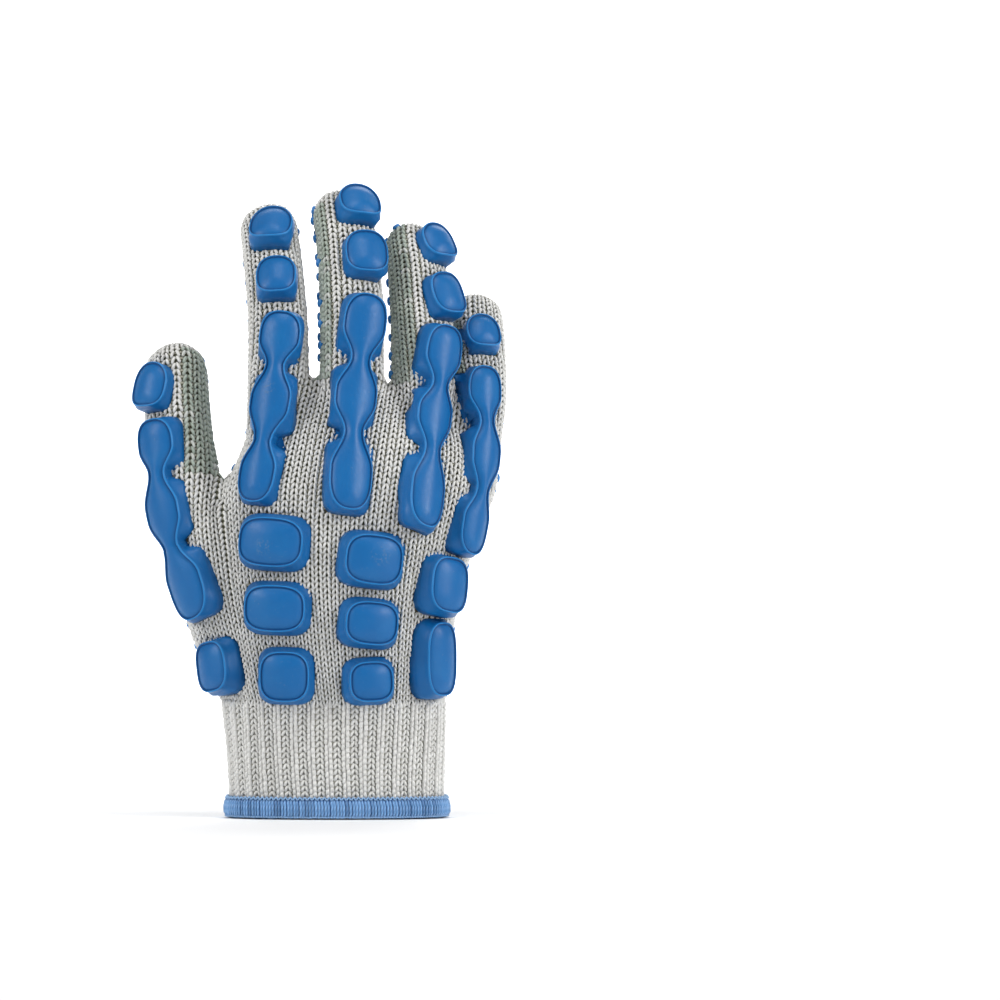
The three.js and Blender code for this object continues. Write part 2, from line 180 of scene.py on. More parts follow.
# twist is in turns of the plies for each leg of a stitch, fuzz and patches are scales of noise
# shadow darkens a leg by its random tone, and is also painted shade in the grooves between the plies
yarn = {"white": (0.80, 0.795, 0.775), "greyGreen": (0.40, 0.47, 0.40), "shadow": (0.50, 0.50, 0.48),
        "aged": (0.80, 0.79, 0.74), "agedShare": 0.25, "plies": 2, "twist": 1.5, "plyDepth": 0.10 * mm,
        "fuzz": 3800.0, "patches": 60.0}


def yarnMaterial():
    material, tree, shader = newMaterial("yarn", yarn["white"], 0.9, Specular_IOR_Level=0.2,
                                         Sheen_Weight=0.35, Sheen_Roughness=0.5)
    shaded, grey, _ = tintOf(tree)
    across, along, _ = weaveOf(tree)
    turns = calc(tree, "MULTIPLY_ADD", along, yarn["twist"], calc(tree, "MULTIPLY", across, yarn["plies"]))
    ply = sineOf(tree, turns)
    place = placeOf(tree)
    fuzz = noise(tree, place, yarn["fuzz"], 2.0)
    slow = noise(tree, place, yarn["patches"], 2.0)
    base = mixColour(tree, grey, yarn["white"], yarn["greyGreen"])
    # painted shade in the grooves between the plies, together with each leg's random tone, darkens the yarn
    groove = calc(tree, "MULTIPLY_ADD", ply, -0.10, 0.12)
    base = mixColour(tree, calc(tree, "ADD", groove, shaded, clamp=True), base, yarn["shadow"], "MULTIPLY")
    patchy = calc(tree, "MULTIPLY", slow, yarn["agedShare"])
    base = mixColour(tree, patchy, base, yarn["aged"], "MULTIPLY")
    high = calc(tree, "ADD", calc(tree, "MULTIPLY", ply, 0.5), calc(tree, "MULTIPLY", fuzz, 0.8))
    surface(tree, shader, base, high, yarn["plyDepth"], 0.7)
    return material


# dark and cuff colour the outward face as painted shade seen through the holes between the stitches; groove
# is painted shade between the rows of purl loops inside
lining = {"dark": (0.085, 0.085, 0.06), "rung": (0.46, 0.45, 0.38), "inside": (0.46, 0.47, 0.41),
          "groove": (0.10, 0.105, 0.08), "cuff": (0.26, 0.26, 0.24), "relief": 0.3 * mm}


def liningMaterial():
    # rungs of yarn show dimly behind the stitches on a face painted dark as shade seen through the holes,
    # and the inside has rows of purl loops with painted shade between them
    material, tree, shader = newMaterial("lining", lining["dark"], 0.95, Specular_IOR_Level=0.1)
    row = weaveOf(tree)[1]
    inner, ofCuff, _ = tintOf(tree)
    speckle = noise(tree, placeOf(tree), 700.0, 3.0)
    rung = between(tree, sineOf(tree, row), 0.25, 0.85)
    rung = calc(tree, "MULTIPLY", rung, calc(tree, "ADD", speckle, 0.35, clamp=True))
    dark = mixColour(tree, ofCuff, lining["dark"], lining["cuff"])
    outside = mixColour(tree, rung, dark, lining["rung"])
    purl = calc(tree, "MULTIPLY_ADD", sineOf(tree, row, 2), 0.5, 0.5)
    insideColour = mixColour(tree, purl, lining["groove"], lining["inside"])
    base = mixColour(tree, inner, outside, insideColour)
    surface(tree, shader, base, calc(tree, "ADD", purl, speckle), lining["relief"], 0.6)
    return material


# groove is painted shade in the groove inside a block's rim, and bead a painted highlight on the rim's bead
rubber = {"blue": (0.003, 0.112, 0.335), "worn": (0.006, 0.138, 0.375), "smudge": (0.10, 0.17, 0.26),
          "groove": (0.35, 0.45, 0.55), "beadHighlight": (0.018, 0.22, 0.55), "beadShare": 0.8, "grain": 0.12 * mm}
# faint rubbed places on the tops: x, z and radius, in millimetres
rubbed = [(17.0, 101.2, 4.5), (-26.3, 165.6, 3.2), (-28.0, 104.6, 4.0)]


def rubberMaterial():
    material, tree, shader = newMaterial("rubber", rubber["blue"], 0.42, Specular_IOR_Level=0.32)
    place = placeOf(tree)
    cloudy = noise(tree, place, 90.0, 3.0)
    fine = noise(tree, place, 900.0, 4.0)
    grain = noise(tree, place, 5200.0, 2.0)
    base = mixColour(tree, between(tree, cloudy, 0.45, 0.75, 0.0, 0.5), rubber["blue"], rubber["worn"])
    # a painted highlight on the rim's bead and painted shade in its groove
    groove, beadHighlight, _ = tintOf(tree)
    base = mixColour(tree, calc(tree, "MULTIPLY", beadHighlight, rubber["beadShare"]), base, rubber["beadHighlight"])
    base = mixColour(tree, groove, base, rubber["groove"], "MULTIPLY")
    marks = between(tree, fine, 0.64, 0.74, 0.0, 0.35)
    base = mixColour(tree, calc(tree, "MULTIPLY", marks, cloudy), base, rubber["smudge"])
    flat = node(tree, "ShaderNodeVectorMath", {0: place, 1: (1, 0, 1)}, operation="MULTIPLY").outputs[0]
    for x, z, radius in rubbed:
        middle = (x * mm, 0, z * mm)
        reach = node(tree, "ShaderNodeVectorMath", {0: flat, 1: middle}, operation="DISTANCE")
        near = between(tree, reach.outputs["Value"], radius * mm, 0.0)
        worn = between(tree, fine, 0.5, 0.62, 0.0, 0.6)
        base = mixColour(tree, calc(tree, "MULTIPLY", near, worn), base, rubber["smudge"])
    tree.links.new(between(tree, fine, 0.3, 0.8, 0.34, 0.50), shader.inputs["Roughness"])
    high = calc(tree, "ADD", calc(tree, "MULTIPLY", grain, 0.25), fine)
    surface(tree, shader, base, high, rubber["grain"], 0.35)
    return material


gripDot = {"light": (0.03, 0.22, 0.56), "dark": (0.012, 0.16, 0.46), "grain": 0.1 * mm}


def dotMaterial():
    material, tree, shader = newMaterial("gripDot", gripDot["light"], 0.38)
    cloudy = noise(tree, placeOf(tree), 300.0, 3.0)
    base = mixColour(tree, cloudy, gripDot["dark"], gripDot["light"])
    surface(tree, shader, base, cloudy, gripDot["grain"], 0.4)
    return material


# dark is painted shade in the grooves between the plies
# under, the core's colour, is the binding's blue darkened as painted shade for the gaps between the wraps
thread = {"light": (0.22, 0.42, 0.72), "dark": (0.13, 0.30, 0.58), "under": (0.03, 0.10, 0.27),
          "loop": (0.33, 0.54, 0.80), "shadow": (0.5, 0.56, 0.62), "plies": 2.0, "twist": 9.0,
          "plyDepth": 0.1 * mm}


def threadMaterial(name, light, dark):
    material, tree, shader = newMaterial(name, light, 0.7, Specular_IOR_Level=0.3, Sheen_Weight=0.3)
    across, along, _ = weaveOf(tree)
    across = calc(tree, "MULTIPLY", across, thread["plies"])
    along = calc(tree, "MULTIPLY", along, thread["twist"])
    ply = sineOf(tree, calc(tree, "ADD", across, along))
    # the plies are painted darker in the grooves between them, as shade
    base = mixColour(tree, calc(tree, "MULTIPLY_ADD", ply, 0.5, 0.5), dark, light)
    base = mixColour(tree, tintOf(tree)[0], base, thread["shadow"], "MULTIPLY")
    surface(tree, shader, base, ply, thread["plyDepth"], 0.6)
    return material


yarnLook = yarnMaterial()
liningLook = liningMaterial()
rubberLook = rubberMaterial()
dotLook = dotMaterial()
threadLook = threadMaterial("bindingThread", thread["light"], thread["dark"])
threadCoreShadeLook = threadMaterial("bindingCore", thread["under"], thread["under"])
threadLoopLook = threadMaterial("bindingLoop", thread["loop"], thread["light"])
print("materials ready")

# each digit's first and last column, the row it joins the hand at, its rows above that,
# and its middle line from the join to the tip as x, y, z and half width, in millimetres
digitNet = {
    "thumb": {"columns": (0, 9), "join": 17, "rows": 27,
              "path": [(-59.4, 5, 132, 13.3), (-61.8, 10, 153, 12.8), (-63, 16, 172, 12.5),
                       (-64, 21, 184, 1)]},
    "index": {"columns": (9, 18), "join": 0, "rows": 36,
              "path": [(-22.8, -3.5, 167, 12), (-23.1, 3, 192, 11.5), (-25.4, 13, 214.5, 11.4),
                       (-27.3, 23, 228, 11.3), (-28.5, 29, 237, 1)]},
    "middle": {"columns": (18, 27), "join": 0, "rows": 39,
               "path": [(5.4, -5.5, 169, 12.5), (5.1, 1, 196, 12.4), (3.6, 11, 219, 12.1),
                        (1.2, 20, 233, 11.8), (0, 25, 243, 1)]},
    "ring": {"columns": (27, 36), "join": 0, "rows": 36,
             "path": [(32.4, 0.5, 165, 12.2), (32.2, 6, 186, 12.3), (30.6, 15, 208, 12),
                      (28.6, 23, 220, 11.6), (27.5, 28, 229, 1)]},
    "little": {"columns": (36, 44), "join": 0, "rows": 22,
               "path": [(53.1, 11, 167, 10.4), (52.9, 17, 182, 10.3), (52.2, 23, 193.5, 10.2),
                        (52, 27, 201, 1)]},
}

# The form that the knit is laid on

form = {"voxel": 0.9 * mm, "smoothing": 16, "smoothBy": 0.5, "weld": 1e-6, "rim": 0.3 * mm,
        "partFrom": 147 * mm, "partTo": 160 * mm, "partRightOf": 30 * mm, "partBy": (1.2 * mm, 1.0 * mm)}


def partLittle(mesh):
    # the ring and little fingers all but touch, so the little one is drawn aside for a clear gap
    lines = [np.array(digitNet[name]["path"]) * mm for name in ("ring", "little")]
    for v in mesh.vertices:
        if v.co.z < form["partFrom"] or v.co.x < form["partRightOf"]:
            continue
        far = []
        for line in lines:
            x, y = (np.interp(v.co.z, line[:, 2], line[:, i]) for i in (0, 1))
            far.append(math.hypot(v.co.x - x, v.co.y - y) / line[0, 3])
        if far[1] < far[0]:
            share = min((v.co.z - form["partFrom"]) / (form["partTo"] - form["partFrom"]), 1)
            v.co.x += form["partBy"][0] * share
            v.co.y += form["partBy"][1] * share


def bodyForm():
    # the outside of the knitted solid: its lower rim is cut away, which frees the inside wall, and the
    # outside is closed and made anew of even cells
    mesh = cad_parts["knit_shell"].data.copy()
    body = bpy.data.objects.new("bodyForm", mesh)
    bpy.context.scene.collection.objects.link(body)
    selectOnly(body)
    bpy.ops.object.mode_set(mode="EDIT")
    bpy.ops.mesh.select_all(action="SELECT")
    bpy.ops.mesh.remove_doubles(threshold=form["weld"])
    bpy.ops.mesh.select_mode(type="FACE")
    bpy.ops.mesh.select_all(action="DESELECT")
    bpy.ops.object.mode_set(mode="OBJECT")
    lowest = min(v.co.z for v in mesh.vertices)
    # the faces of the rim at the wrist look down
    for face in mesh.polygons:
        face.select = abs(face.center.z - lowest) < form["rim"] and face.normal.z < -0.7
    bpy.ops.object.mode_set(mode="EDIT")
    bpy.ops.mesh.delete(type="FACE")
    bpy.ops.mesh.separate(type="LOOSE")
    bpy.ops.object.mode_set(mode="OBJECT")
    parts = [o for o in bpy.context.selected_objects if o.type == "MESH"]
    parts.sort(key=lambda o: -max(v.co.x for v in o.data.vertices))
    body = parts[0]
    for extra in parts[1:]:
        bpy.data.objects.remove(extra)
    partLittle(body.data)
    selectOnly(body)
    bpy.ops.object.mode_set(mode="EDIT")
    bpy.ops.mesh.select_all(action="SELECT")
    bpy.ops.mesh.fill_holes(sides=0)
    bpy.ops.mesh.select_all(action="SELECT")
    bpy.ops.mesh.normals_make_consistent(inside=False)
    bpy.ops.object.mode_set(mode="OBJECT")
    remesh = body.modifiers.new("voxels", "REMESH")
    remesh.mode = "VOXEL"
    remesh.voxel_size = form["voxel"]
    bpy.ops.object.modifier_apply(modifier="voxels")
    relax = body.modifiers.new("relax", "SMOOTH")
    relax.factor = form["smoothBy"]
    relax.iterations = form["smoothing"]
    bpy.ops.object.modifier_apply(modifier="relax")
    return body


body = bodyForm()
bodyPoints = np.array([v.co for v in body.data.vertices])
bodyFaces = [tuple(face.vertices) for face in body.data.polygons]
bodyTree = BVHTree.FromPolygons([tuple(p) for p in bodyPoints], bodyFaces)
bpy.data.objects.remove(body)
print("form", len(bodyPoints), "points")


def nearest(points):
    # the form's nearest places and its normals there
    found = [bodyTree.find_nearest(Vector(p)) for p in points]
    return np.array([f[0] for f in found]), np.array([f[1] for f in found])


wellOutside = 0.2  # metres, clear of the whole glove


def seatAt(x, z, fromFront=True):
    # the place where a straight look from the front or the back meets the form
    way = 1 if fromFront else -1
    hit = bodyTree.ray_cast(Vector((x, -way * wellOutside, z)), Vector((0, way, 0)))[0]
    return np.array(hit if hit is not None else bodyTree.find_nearest(Vector((x, 0, z)))[0])


# The net: one cell for each stitch, on a front and a back sheet that share their outline

# slab, probes and clearOfEdge find where a row lies, tipAlong and tipBeside bound the search for a tip,
# and tipStep parts the two middle points of a tip that has an odd number of columns
net = {"rowHeight": 2.15 * mm, "wale": 3.4 * mm, "topJoin": 168.4 * mm, "lowestRow": 58, "rounds": 240,
       "slab": 1.2 * mm, "probes": 80, "clearOfEdge": 0.999, "tipAlong": 18 * mm, "tipBeside": 5 * mm,
       "tipStep": 1.6 * mm, "webStep": 0.5}
# rows left out at a digit's tip, column by column, for digits nine and eight columns wide
tipDrop = {9: [4, 2, 1, 0, 0, 0, 1, 2, 4], 8: [4, 2, 1, 0, 0, 1, 2, 4]}
# the net's corner between two digits, by row and column, and the heights to look for it, in millimetres
webs = {(0, 18): ("index", "middle", 160, 182), (0, 27): ("middle", "ring", 158, 180),
        (0, 36): ("ring", "little", 160, 176), (17, 9): ("thumb", "index", 126, 142)}


def webPoint(oneName, otherName, low, high):
    # the lowest place between two digits where a line from one middle to the other still leaves the fabric
    found = None
    for z in np.arange(high, low, -net["webStep"]):
        ends = []
        for name in (oneName, otherName):
            path = np.array(digitNet[name]["path"])
            x, y = [np.interp(z, path[:, 2], path[:, i]) for i in (0, 1)]
            ends.append(np.array([x, y, z]) * mm)
        way = ends[1] - ends[0]
        length = np.linalg.norm(way)
        there = bodyTree.ray_cast(Vector(ends[0]), Vector(way), length)[0]
        back = bodyTree.ray_cast(Vector(ends[1]), Vector(-way), length)[0]
        if there is None or back is None or (np.array(back) - np.array(there)) @ way < 0:
            break
        found = (np.array(there) + np.array(back)) / 2
    print("web", oneName, otherName, (found / mm).round(1))
    return found


crotches = {key: webPoint(*web) for key, web in webs.items()}
thumbCrotch = (17, 9)


def handColumns(row):
    # above the thumb's crotch the hand has no thumb columns
    return (thumbCrotch[1] if row < thumbCrotch[0] else 0, 44)


def digitCell(name, row, column):
    # whether a digit has a stitch there
    digit = digitNet[name]
    first, last = digit["columns"]
    if not first <= column < last or row >= digit["join"]:
        return False
    return row >= digit["join"] - digit["rows"] + tipDrop[last - first][column - first]


handRows = {}


def handPlace(row, column, sheet):
    # a row of the hand is laid level round the form, with its columns evenly apart
    if row not in handRows:
        z = net["topJoin"] - row * net["rowHeight"]
        first, last = handColumns(row)
        low = crotches[thumbCrotch][0] if row < thumbCrotch[0] else -1
        slab = bodyPoints[(abs(bodyPoints[:, 2] - z) < net["slab"]) & (bodyPoints[:, 0] > low)]
        left, right = slab[slab[:, 0].argmin()], slab[slab[:, 0].argmax()]
        swing = np.cos(np.linspace(0, math.pi, net["probes"]))
        xs = (left[0] + right[0]) / 2 - swing * (right[0] - left[0]) / 2 * net["clearOfEdge"]
        made = {}
        for side in ("front", "back"):
            line = np.array([left] + [seatAt(x, z, side == "front") for x in xs[1:-1]] + [right])
            line[:, 2] = z
            marks = np.concatenate([[0], np.cumsum(np.linalg.norm(np.diff(line, axis=0), axis=1))])
            wanted = np.linspace(0, marks[-1], last - first + 1)
            made[side] = np.array([np.interp(wanted, marks, line[:, i]) for i in range(3)]).T
        handRows[row] = (first, made)
    first, made = handRows[row]
    return tuple(made[sheet][column - first])


def digitPlace(name, row, column, sheet, shared):
    # a first place round the digit's middle line, for relaxNet to even out
    digit = digitNet[name]
    first, last = digit["columns"]
    share = (digit["join"] - row) / digit["rows"]
    path = np.array(digit["path"]) * mm
    marks = np.concatenate([[0], np.cumsum(np.linalg.norm(np.diff(path[:, :3], axis=0), axis=1))])
    x, y, z, half = [np.interp(share * marks[-1], marks, path[:, i]) for i in range(4)]
    angle = math.pi * (column - first) / (last - first)
    depth = 0 if shared else math.sin(angle) * (-1 if sheet == "front" else 1)
    return x - half * math.cos(angle), y + half * depth, z


def buildNet():
    # points are numbered by sheet, owner, row and column; those on the outline belong to both sheets
    ids, places, held, cells = {}, [], [], []

    def corner(sheet, name, row, column):
        inDigit = name != "hand" and row < digitNet[name]["join"]
        owner = name if inDigit else "hand"
        if inDigit:
            shared = not all(digitCell(name, row + i, column + j) for i in (-1, 0) for j in (-1, 0))
        else:
            shared = column in handColumns(row) or (row, column) in crotches
        key = ("both" if shared else sheet, owner, row, column)
        if key not in ids:
            ids[key] = len(places)
            isCrotch = not inDigit and (row, column) in crotches
            if isCrotch:
                place = tuple(crotches[(row, column)])
            elif inDigit:
                place = digitPlace(name, row, column, sheet, shared)
            else:
                place = handPlace(row, column, sheet)
            places.append(place)
            held.append(isCrotch or row == net["lowestRow"])
        return ids[key]

    for sheet in ("front", "back"):
        regions = []
        for name, digit in digitNet.items():
            first, last = digit["columns"]
            for row in range(digit["join"] - digit["rows"], digit["join"]):
                used = [column for column in range(first, last) if digitCell(name, row, column)]
                regions += [(name, row, column) for column in used]
        for row in range(net["lowestRow"]):
            first, last = handColumns(row)
            regions += [("hand", row, column) for column in range(first, last)]
        for name, row, column in regions:
            corners = [corner(sheet, name, row + i, column + j) for i in (0, 1) for j in (0, 1)]
            cells.append((corners, sheet, name, row, column))
    return ids, np.array(places), np.array(held), cells


netIds, points, pinned, cells = buildNet()
cellIds = np.array([c[0] for c in cells])
cellFront = np.array([c[1] == "front" for c in cells])
cellName = np.array([c[2] for c in cells])
cellRow = np.array([c[3] for c in cells])
cellColumn = np.array([c[4] for c in cells])
print("net", len(points), "points", len(cellIds), "cells")


def pinTips():
    # a tip is the form's furthest point along the digit's last stretch and close to its line
    for name, digit in digitNet.items():
        path = np.array(digit["path"]) * mm
        aim = unit(path[-1, :3] - path[-2, :3])
        off = bodyPoints - path[-2, :3]
        reach = off @ aim
        beside = np.linalg.norm(off - reach[:, None] * aim, axis=1)
        near = bodyPoints[(abs(reach) < net["tipAlong"]) & (beside < net["tipBeside"])]
        tip = near[(near @ aim).argmax()]
        top = digit["join"] - digit["rows"]
        first, last = digit["columns"]
        for column in {(first + last) // 2, (first + last + 1) // 2}:
            held = netIds[("both", name, top, column)]
            points[held] = tip + np.array([(column - (first + last) / 2) * net["tipStep"], 0, 0])
            pinned[held] = True


def relaxNet():
    # each point goes to the weighted middle of its neighbours, and every third round back on to the form
    global points
    across, along = 1 / net["wale"] ** 2, 1 / net["rowHeight"] ** 2
    edges = {}
    for a, b, c, d in cellIds:
        for i, j, pull in ((a, b, across), (c, d, across), (a, c, along), (b, d, along)):
            edges[(min(i, j), max(i, j))] = pull
    pairs = np.array(list(edges))
    pull = np.array(list(edges.values()))
    ends = np.concatenate([pairs[:, 0], pairs[:, 1]])
    others = np.concatenate([pairs[:, 1], pairs[:, 0]])
    pulls = np.concatenate([pull, pull])
    total = np.bincount(ends, pulls, len(points))
    for step in range(net["rounds"]):
        moved = [np.bincount(ends, pulls * points[others, k], len(points)) / total for k in range(3)]
        points[~pinned] = np.stack(moved, 1)[~pinned]
        if step % 3 == 2:
            points[~pinned] = nearest(points[~pinned])[0]


pinTips()
points = nearest(points)[0]
relaxNet()
points, bodyWay = nearest(points)


def cellNormals(points, ids, flip, guide):
    # the mean of the faces round each point, drawn towards the form's own normal
    a, b, c, d = (points[ids[:, i]] for i in range(4))
    face = np.cross(d - a, b - c)
    face[flip] *= -1
    made = np.zeros_like(points)
    for i in range(4):
        np.add.at(made, ids[:, i], face)
    made = unit(made)
    wrong = (made * guide).sum(1) < 0
    made[wrong] = guide[wrong]
    print("normals against the form:", int(wrong.sum()), "of", len(made))
    return unit(made + 0.5 * guide)


normals = cellNormals(points, cellIds, ~cellFront, bodyWay)
corners = points[cellIds]
for measure, other in (("width", 1), ("height", 2)):
    sizes = np.linalg.norm(corners[:, other] - corners[:, 0], axis=1) / mm
    print("cell", measure, np.percentile(sizes, [1, 25, 50, 75, 99]).round(2))

# The cuff's grid, ribbed

cuff = {"columns": 64, "rows": 20, "top": 44.8 * mm, "bottom": 2 * mm, "ribDepth": 0.5 * mm,
        "sway": 0.35 * mm, "swayTurn": 0.11, "fadeLow": (6 * mm, 10 * mm), "fadeHigh": (47 * mm, 44 * mm),
        "ribVary": (0.6, 1.2), "ribAtEdge": 0.35, "palmPower": 2.5, "backPower": 2.15, "ringSteps": 1441}
# height, then how far the cuff reaches to the left, the right, the back of the hand and the palm
cuffSections = [(1.5, -41.7, 40.9, -21.5, 21.5), (9, -41.9, 41, -21.7, 21.7), (26, -43, 41.4, -22.5, 22),
                (48, -45.4, 41.8, -24.5, 22)]


def cuffRing(z, count):
    # points evenly apart round the cuff at height z, and their directions outwards
    table = np.array(cuffSections) * mm
    left, right, back, palm = [np.interp(z, table[:, 0], table[:, i]) for i in range(1, 5)]
    angle = np.linspace(0, 2 * math.pi, cuff["ringSteps"])
    cosine, sine = np.cos(angle), np.sin(angle)
    power = np.where(sine > 0, 2 / cuff["palmPower"], 2 / cuff["backPower"])
    x = (left + right) / 2 + np.sign(cosine) * abs(cosine) ** power * ((right - left) / 2)
    y = np.sign(sine) * abs(sine) ** power * np.where(sine > 0, palm, -back)
    marks = np.concatenate([[0], np.cumsum(np.hypot(np.diff(x), np.diff(y)))])
    wanted = np.arange(count) / count * marks[-1]
    ring = np.stack([np.interp(wanted, marks, x), np.interp(wanted, marks, y), np.full(count, z)], 1)
    along = unit(np.roll(ring, -1, 0) - np.roll(ring, 1, 0))
    return ring, unit(np.stack([along[:, 1], -along[:, 0], np.zeros(count)], 1))


def cuffFade(z, limits):
    none, full = limits
    return np.clip((z - none) / (full - none), 0, 1)


def cuffGrid():
    # every other line of points lies deeper, and each rib sways and deepens a little in its own way
    count = cuff["columns"]
    ribSway = np.repeat(draw.uniform(0, 2 * math.pi, count // 4), 4)
    ribDeep = np.repeat(draw.uniform(*cuff["ribVary"], count // 2), 2)[:, None]
    made, outs = [], []
    for z in np.linspace(cuff["top"], cuff["bottom"], cuff["rows"] + 1):
        ring, outward = cuffRing(z, count)
        fade = cuffFade(z, cuff["fadeLow"]) * cuffFade(z, cuff["fadeHigh"])
        ribbed = cuff["ribAtEdge"] + (1 - cuff["ribAtEdge"]) * fade
        valley = (np.arange(count) % 2)[:, None] * cuff["ribDepth"] * ribbed
        along = np.stack([-outward[:, 1], outward[:, 0], np.zeros(count)], 1)
        sway = np.sin(z / mm * cuff["swayTurn"] + ribSway)[:, None] * cuff["sway"] * fade
        made.append(ring - outward * valley * ribDeep + along * sway)
        outs.append(outward)
    # columns run to the left as the angle grows, so each cell starts at its higher column
    ids = []
    for top in range(0, cuff["rows"] * count, count):
        for c in range(count):
            k = (c + 1) % count
            ids.append([top + k, top + c, top + count + k, top + count + c])
    return np.concatenate(made), np.array(ids), np.concatenate(outs)


cuffPoints, cuffIds, cuffWay = cuffGrid()
cuffCorner = cuffPoints[cuffIds]
cuffFace = np.cross(cuffCorner[:, 3] - cuffCorner[:, 0], cuffCorner[:, 1] - cuffCorner[:, 2])
cuffFlip = (cuffFace * cuffWay[cuffIds[:, 0]]).sum(1) < 0
cuffNormals = cellNormals(cuffPoints, cuffIds, cuffFlip, cuffWay)

# Blocks of rubber on the back

# in millimetres: height, flare of the wall at its foot, rise of the crown and radius of the bend across
blockKinds = {
    "tip": {"height": 5.0, "draft": 0.9, "crown": 1.0, "bend": 24},
    "joint": {"height": 5.4, "draft": 1.0, "crown": 0.9, "bend": 26},
    "finger": {"height": 5.7, "draft": 1.2, "crown": 0.9, "bend": 26},
    "back": {"height": 6.4, "draft": 2.1, "crown": 0.9, "bend": 46},
}
# lobes as x, z, length, width, turn, lift and, for a block of one lobe, lean
blocks = {
    "thumb_tip": ("tip", [(-73.8, 167.6, 17.6, 15.2, -37, 20, -2)]),
    "thumb_long": ("finger", [(-71.3, 145, 18.5, 15.8, -35, 10), (-68.5, 118, 24.5, 15.8, -39, 4),
                              (-59.9, 90.4, 27, 17.4, -43, 0)]),
    "index_tip": ("tip", [(-26.4, 231, 16.2, 16.2, -12, 46, -3)]),
    "index_joint": ("joint", [(-24, 210.2, 15.6, 14.8, -7, 32, -3)]),
    "index_long": ("finger", [(-22.2, 186.4, 18.4, 15.4, -7, 14), (-26.3, 160, 23.4, 15.8, -19, 5),
                              (-31.3, 132.4, 22, 14.6, -25, 3)]),
    "middle_tip": ("tip", [(8.9, 239.8, 15.4, 16, 24, 44, 8)]),
    "middle_joint": ("joint", [(11.6, 219.2, 17.6, 16, 14, 30, 3)]),
    "middle_long": ("finger", [(11.2, 191.2, 22.4, 16.2, 15, 14), (7.7, 162, 23.4, 16, 15, 4),
                               (6, 131.4, 27.4, 16.2, 15, 2)]),
    "ring_tip": ("tip", [(39.9, 224.2, 15.2, 14.6, 43, 36, 6)]),
    "ring_joint": ("joint", [(43.6, 203.2, 16.8, 15, 42, 26, 2)]),
    "ring_long": ("finger", [(42, 180, 21, 15.4, 36, 12), (38.4, 155, 21.8, 15, 34, 4),
                             (35.8, 124.6, 27.6, 15.2, 36, 1)]),
    "little_tip": ("tip", [(56.8, 188.8, 13.6, 13.4, 25, 31, 4)]),
    "little_long": ("finger", [(57.4, 165, 18.6, 13.2, 26, 12), (58.2, 139.4, 21.4, 12.8, 38, 4),
                               (54, 112.7, 22.2, 13.2, 46, 0)]),
    "back_index_1": ("back", [(-25.8, 106.5, 18, 24.8, -15, 3, 4)]),
    "back_index_2": ("back", [(-24.1, 81, 17, 23, -11, 0, 2)]),
    "back_index_3": ("back", [(-20.2, 54.8, 18.4, 18.4, -7, -2, 1)]),
    "back_ring_1": ("back", [(15, 99.8, 18.2, 21.8, 15, 2, 7)]),
    "back_ring_2": ("back", [(14.1, 75.4, 15.8, 19.8, 15, 1, 5)]),
    "back_ring_3": ("back", [(13.8, 53, 14.6, 16.4, 14, 0, -2)]),
    "back_little_1": ("back", [(44.3, 90, 20.6, 17.4, 42, 4, 10)]),
    "back_little_2": ("back", [(41.3, 61.4, 27.4, 15, 48, 0, 0)]),
    "thumb_base": ("back", [(-49.4, 58.4, 18.6, 15.6, -46, 0, -10)]),
}
# the foot is boxy and the top rounder: powers of their ends, and the share of the width left in a neck
blockShapes = {
    "tip": {"foot": (2.4, 6.0), "top": (2.2, 3.0)},
    "joint": {"foot": (3.6, 6.0), "top": (2.6, 2.8)},
    "finger": {"foot": (4.5, 6.0), "top": (2.5, 2.5), "footNeck": 0.33, "topNeck": 0.44},
    "back": {"foot": (4.8, 4.8), "top": (2.9, 2.9)},
}
# sunk and footHeight are in millimetres
block = {"sunk": 0.7, "footHeight": 1.6, "steps": 12, "neckSteps": 15, "neckCrowding": 0.6, "wallFlare": 0.8,
         "middleHeight": 0.55, "soleShare": 0.55, "spineShare": 0.8, "reach": 14 * mm, "hang": 3.0 * mm,
         "weld": 2e-5}
# the notch beside a neck, in millimetres from its middle: half its straight bottom, and where its slopes
# end, which are part straight and part curved
notch = {"bottom": 1.7, "end": 5.0, "straight": 0.4}
topPlateau = 0.14  # share of a lobe's half length in which its top keeps its full width
# the wall and the raised rim: share of the top's outline, outward move, and height, both in millimetres; a
# height over 0 counts from the path, "mid" is about half way up, and the others count down from the top
rimLevels = [(0.2, None, 1.6), (0.55, 0.55, "mid"), (0.86, 0.50, -1.6), (1, 0.54, -0.95), (1, 0.48, -0.46),
             (1, 0.34, -0.12), (1, 0.12, 0.0), (1, -0.08, -0.10), (1, -0.20, -0.50), (1, -0.38, -0.80),
             (1, -0.62, -0.66), (1, -1.0, -0.36)]
# painted shade in the groove and a painted highlight on the bead, by level
rimTints = {4: (0, 0.5), 5: (0, 1), 6: (0, 0.7), 8: (0.7, 0), 9: (1, 0), 10: (0.5, 0)}
crownShares = (0.84, 0.64, 0.42, 0.2, 0)


def facingOf(turn, lift):
    turn, lift = math.radians(turn), math.radians(lift)
    return np.array([math.sin(turn) * math.cos(lift), -math.cos(turn) * math.cos(lift), math.sin(lift)])


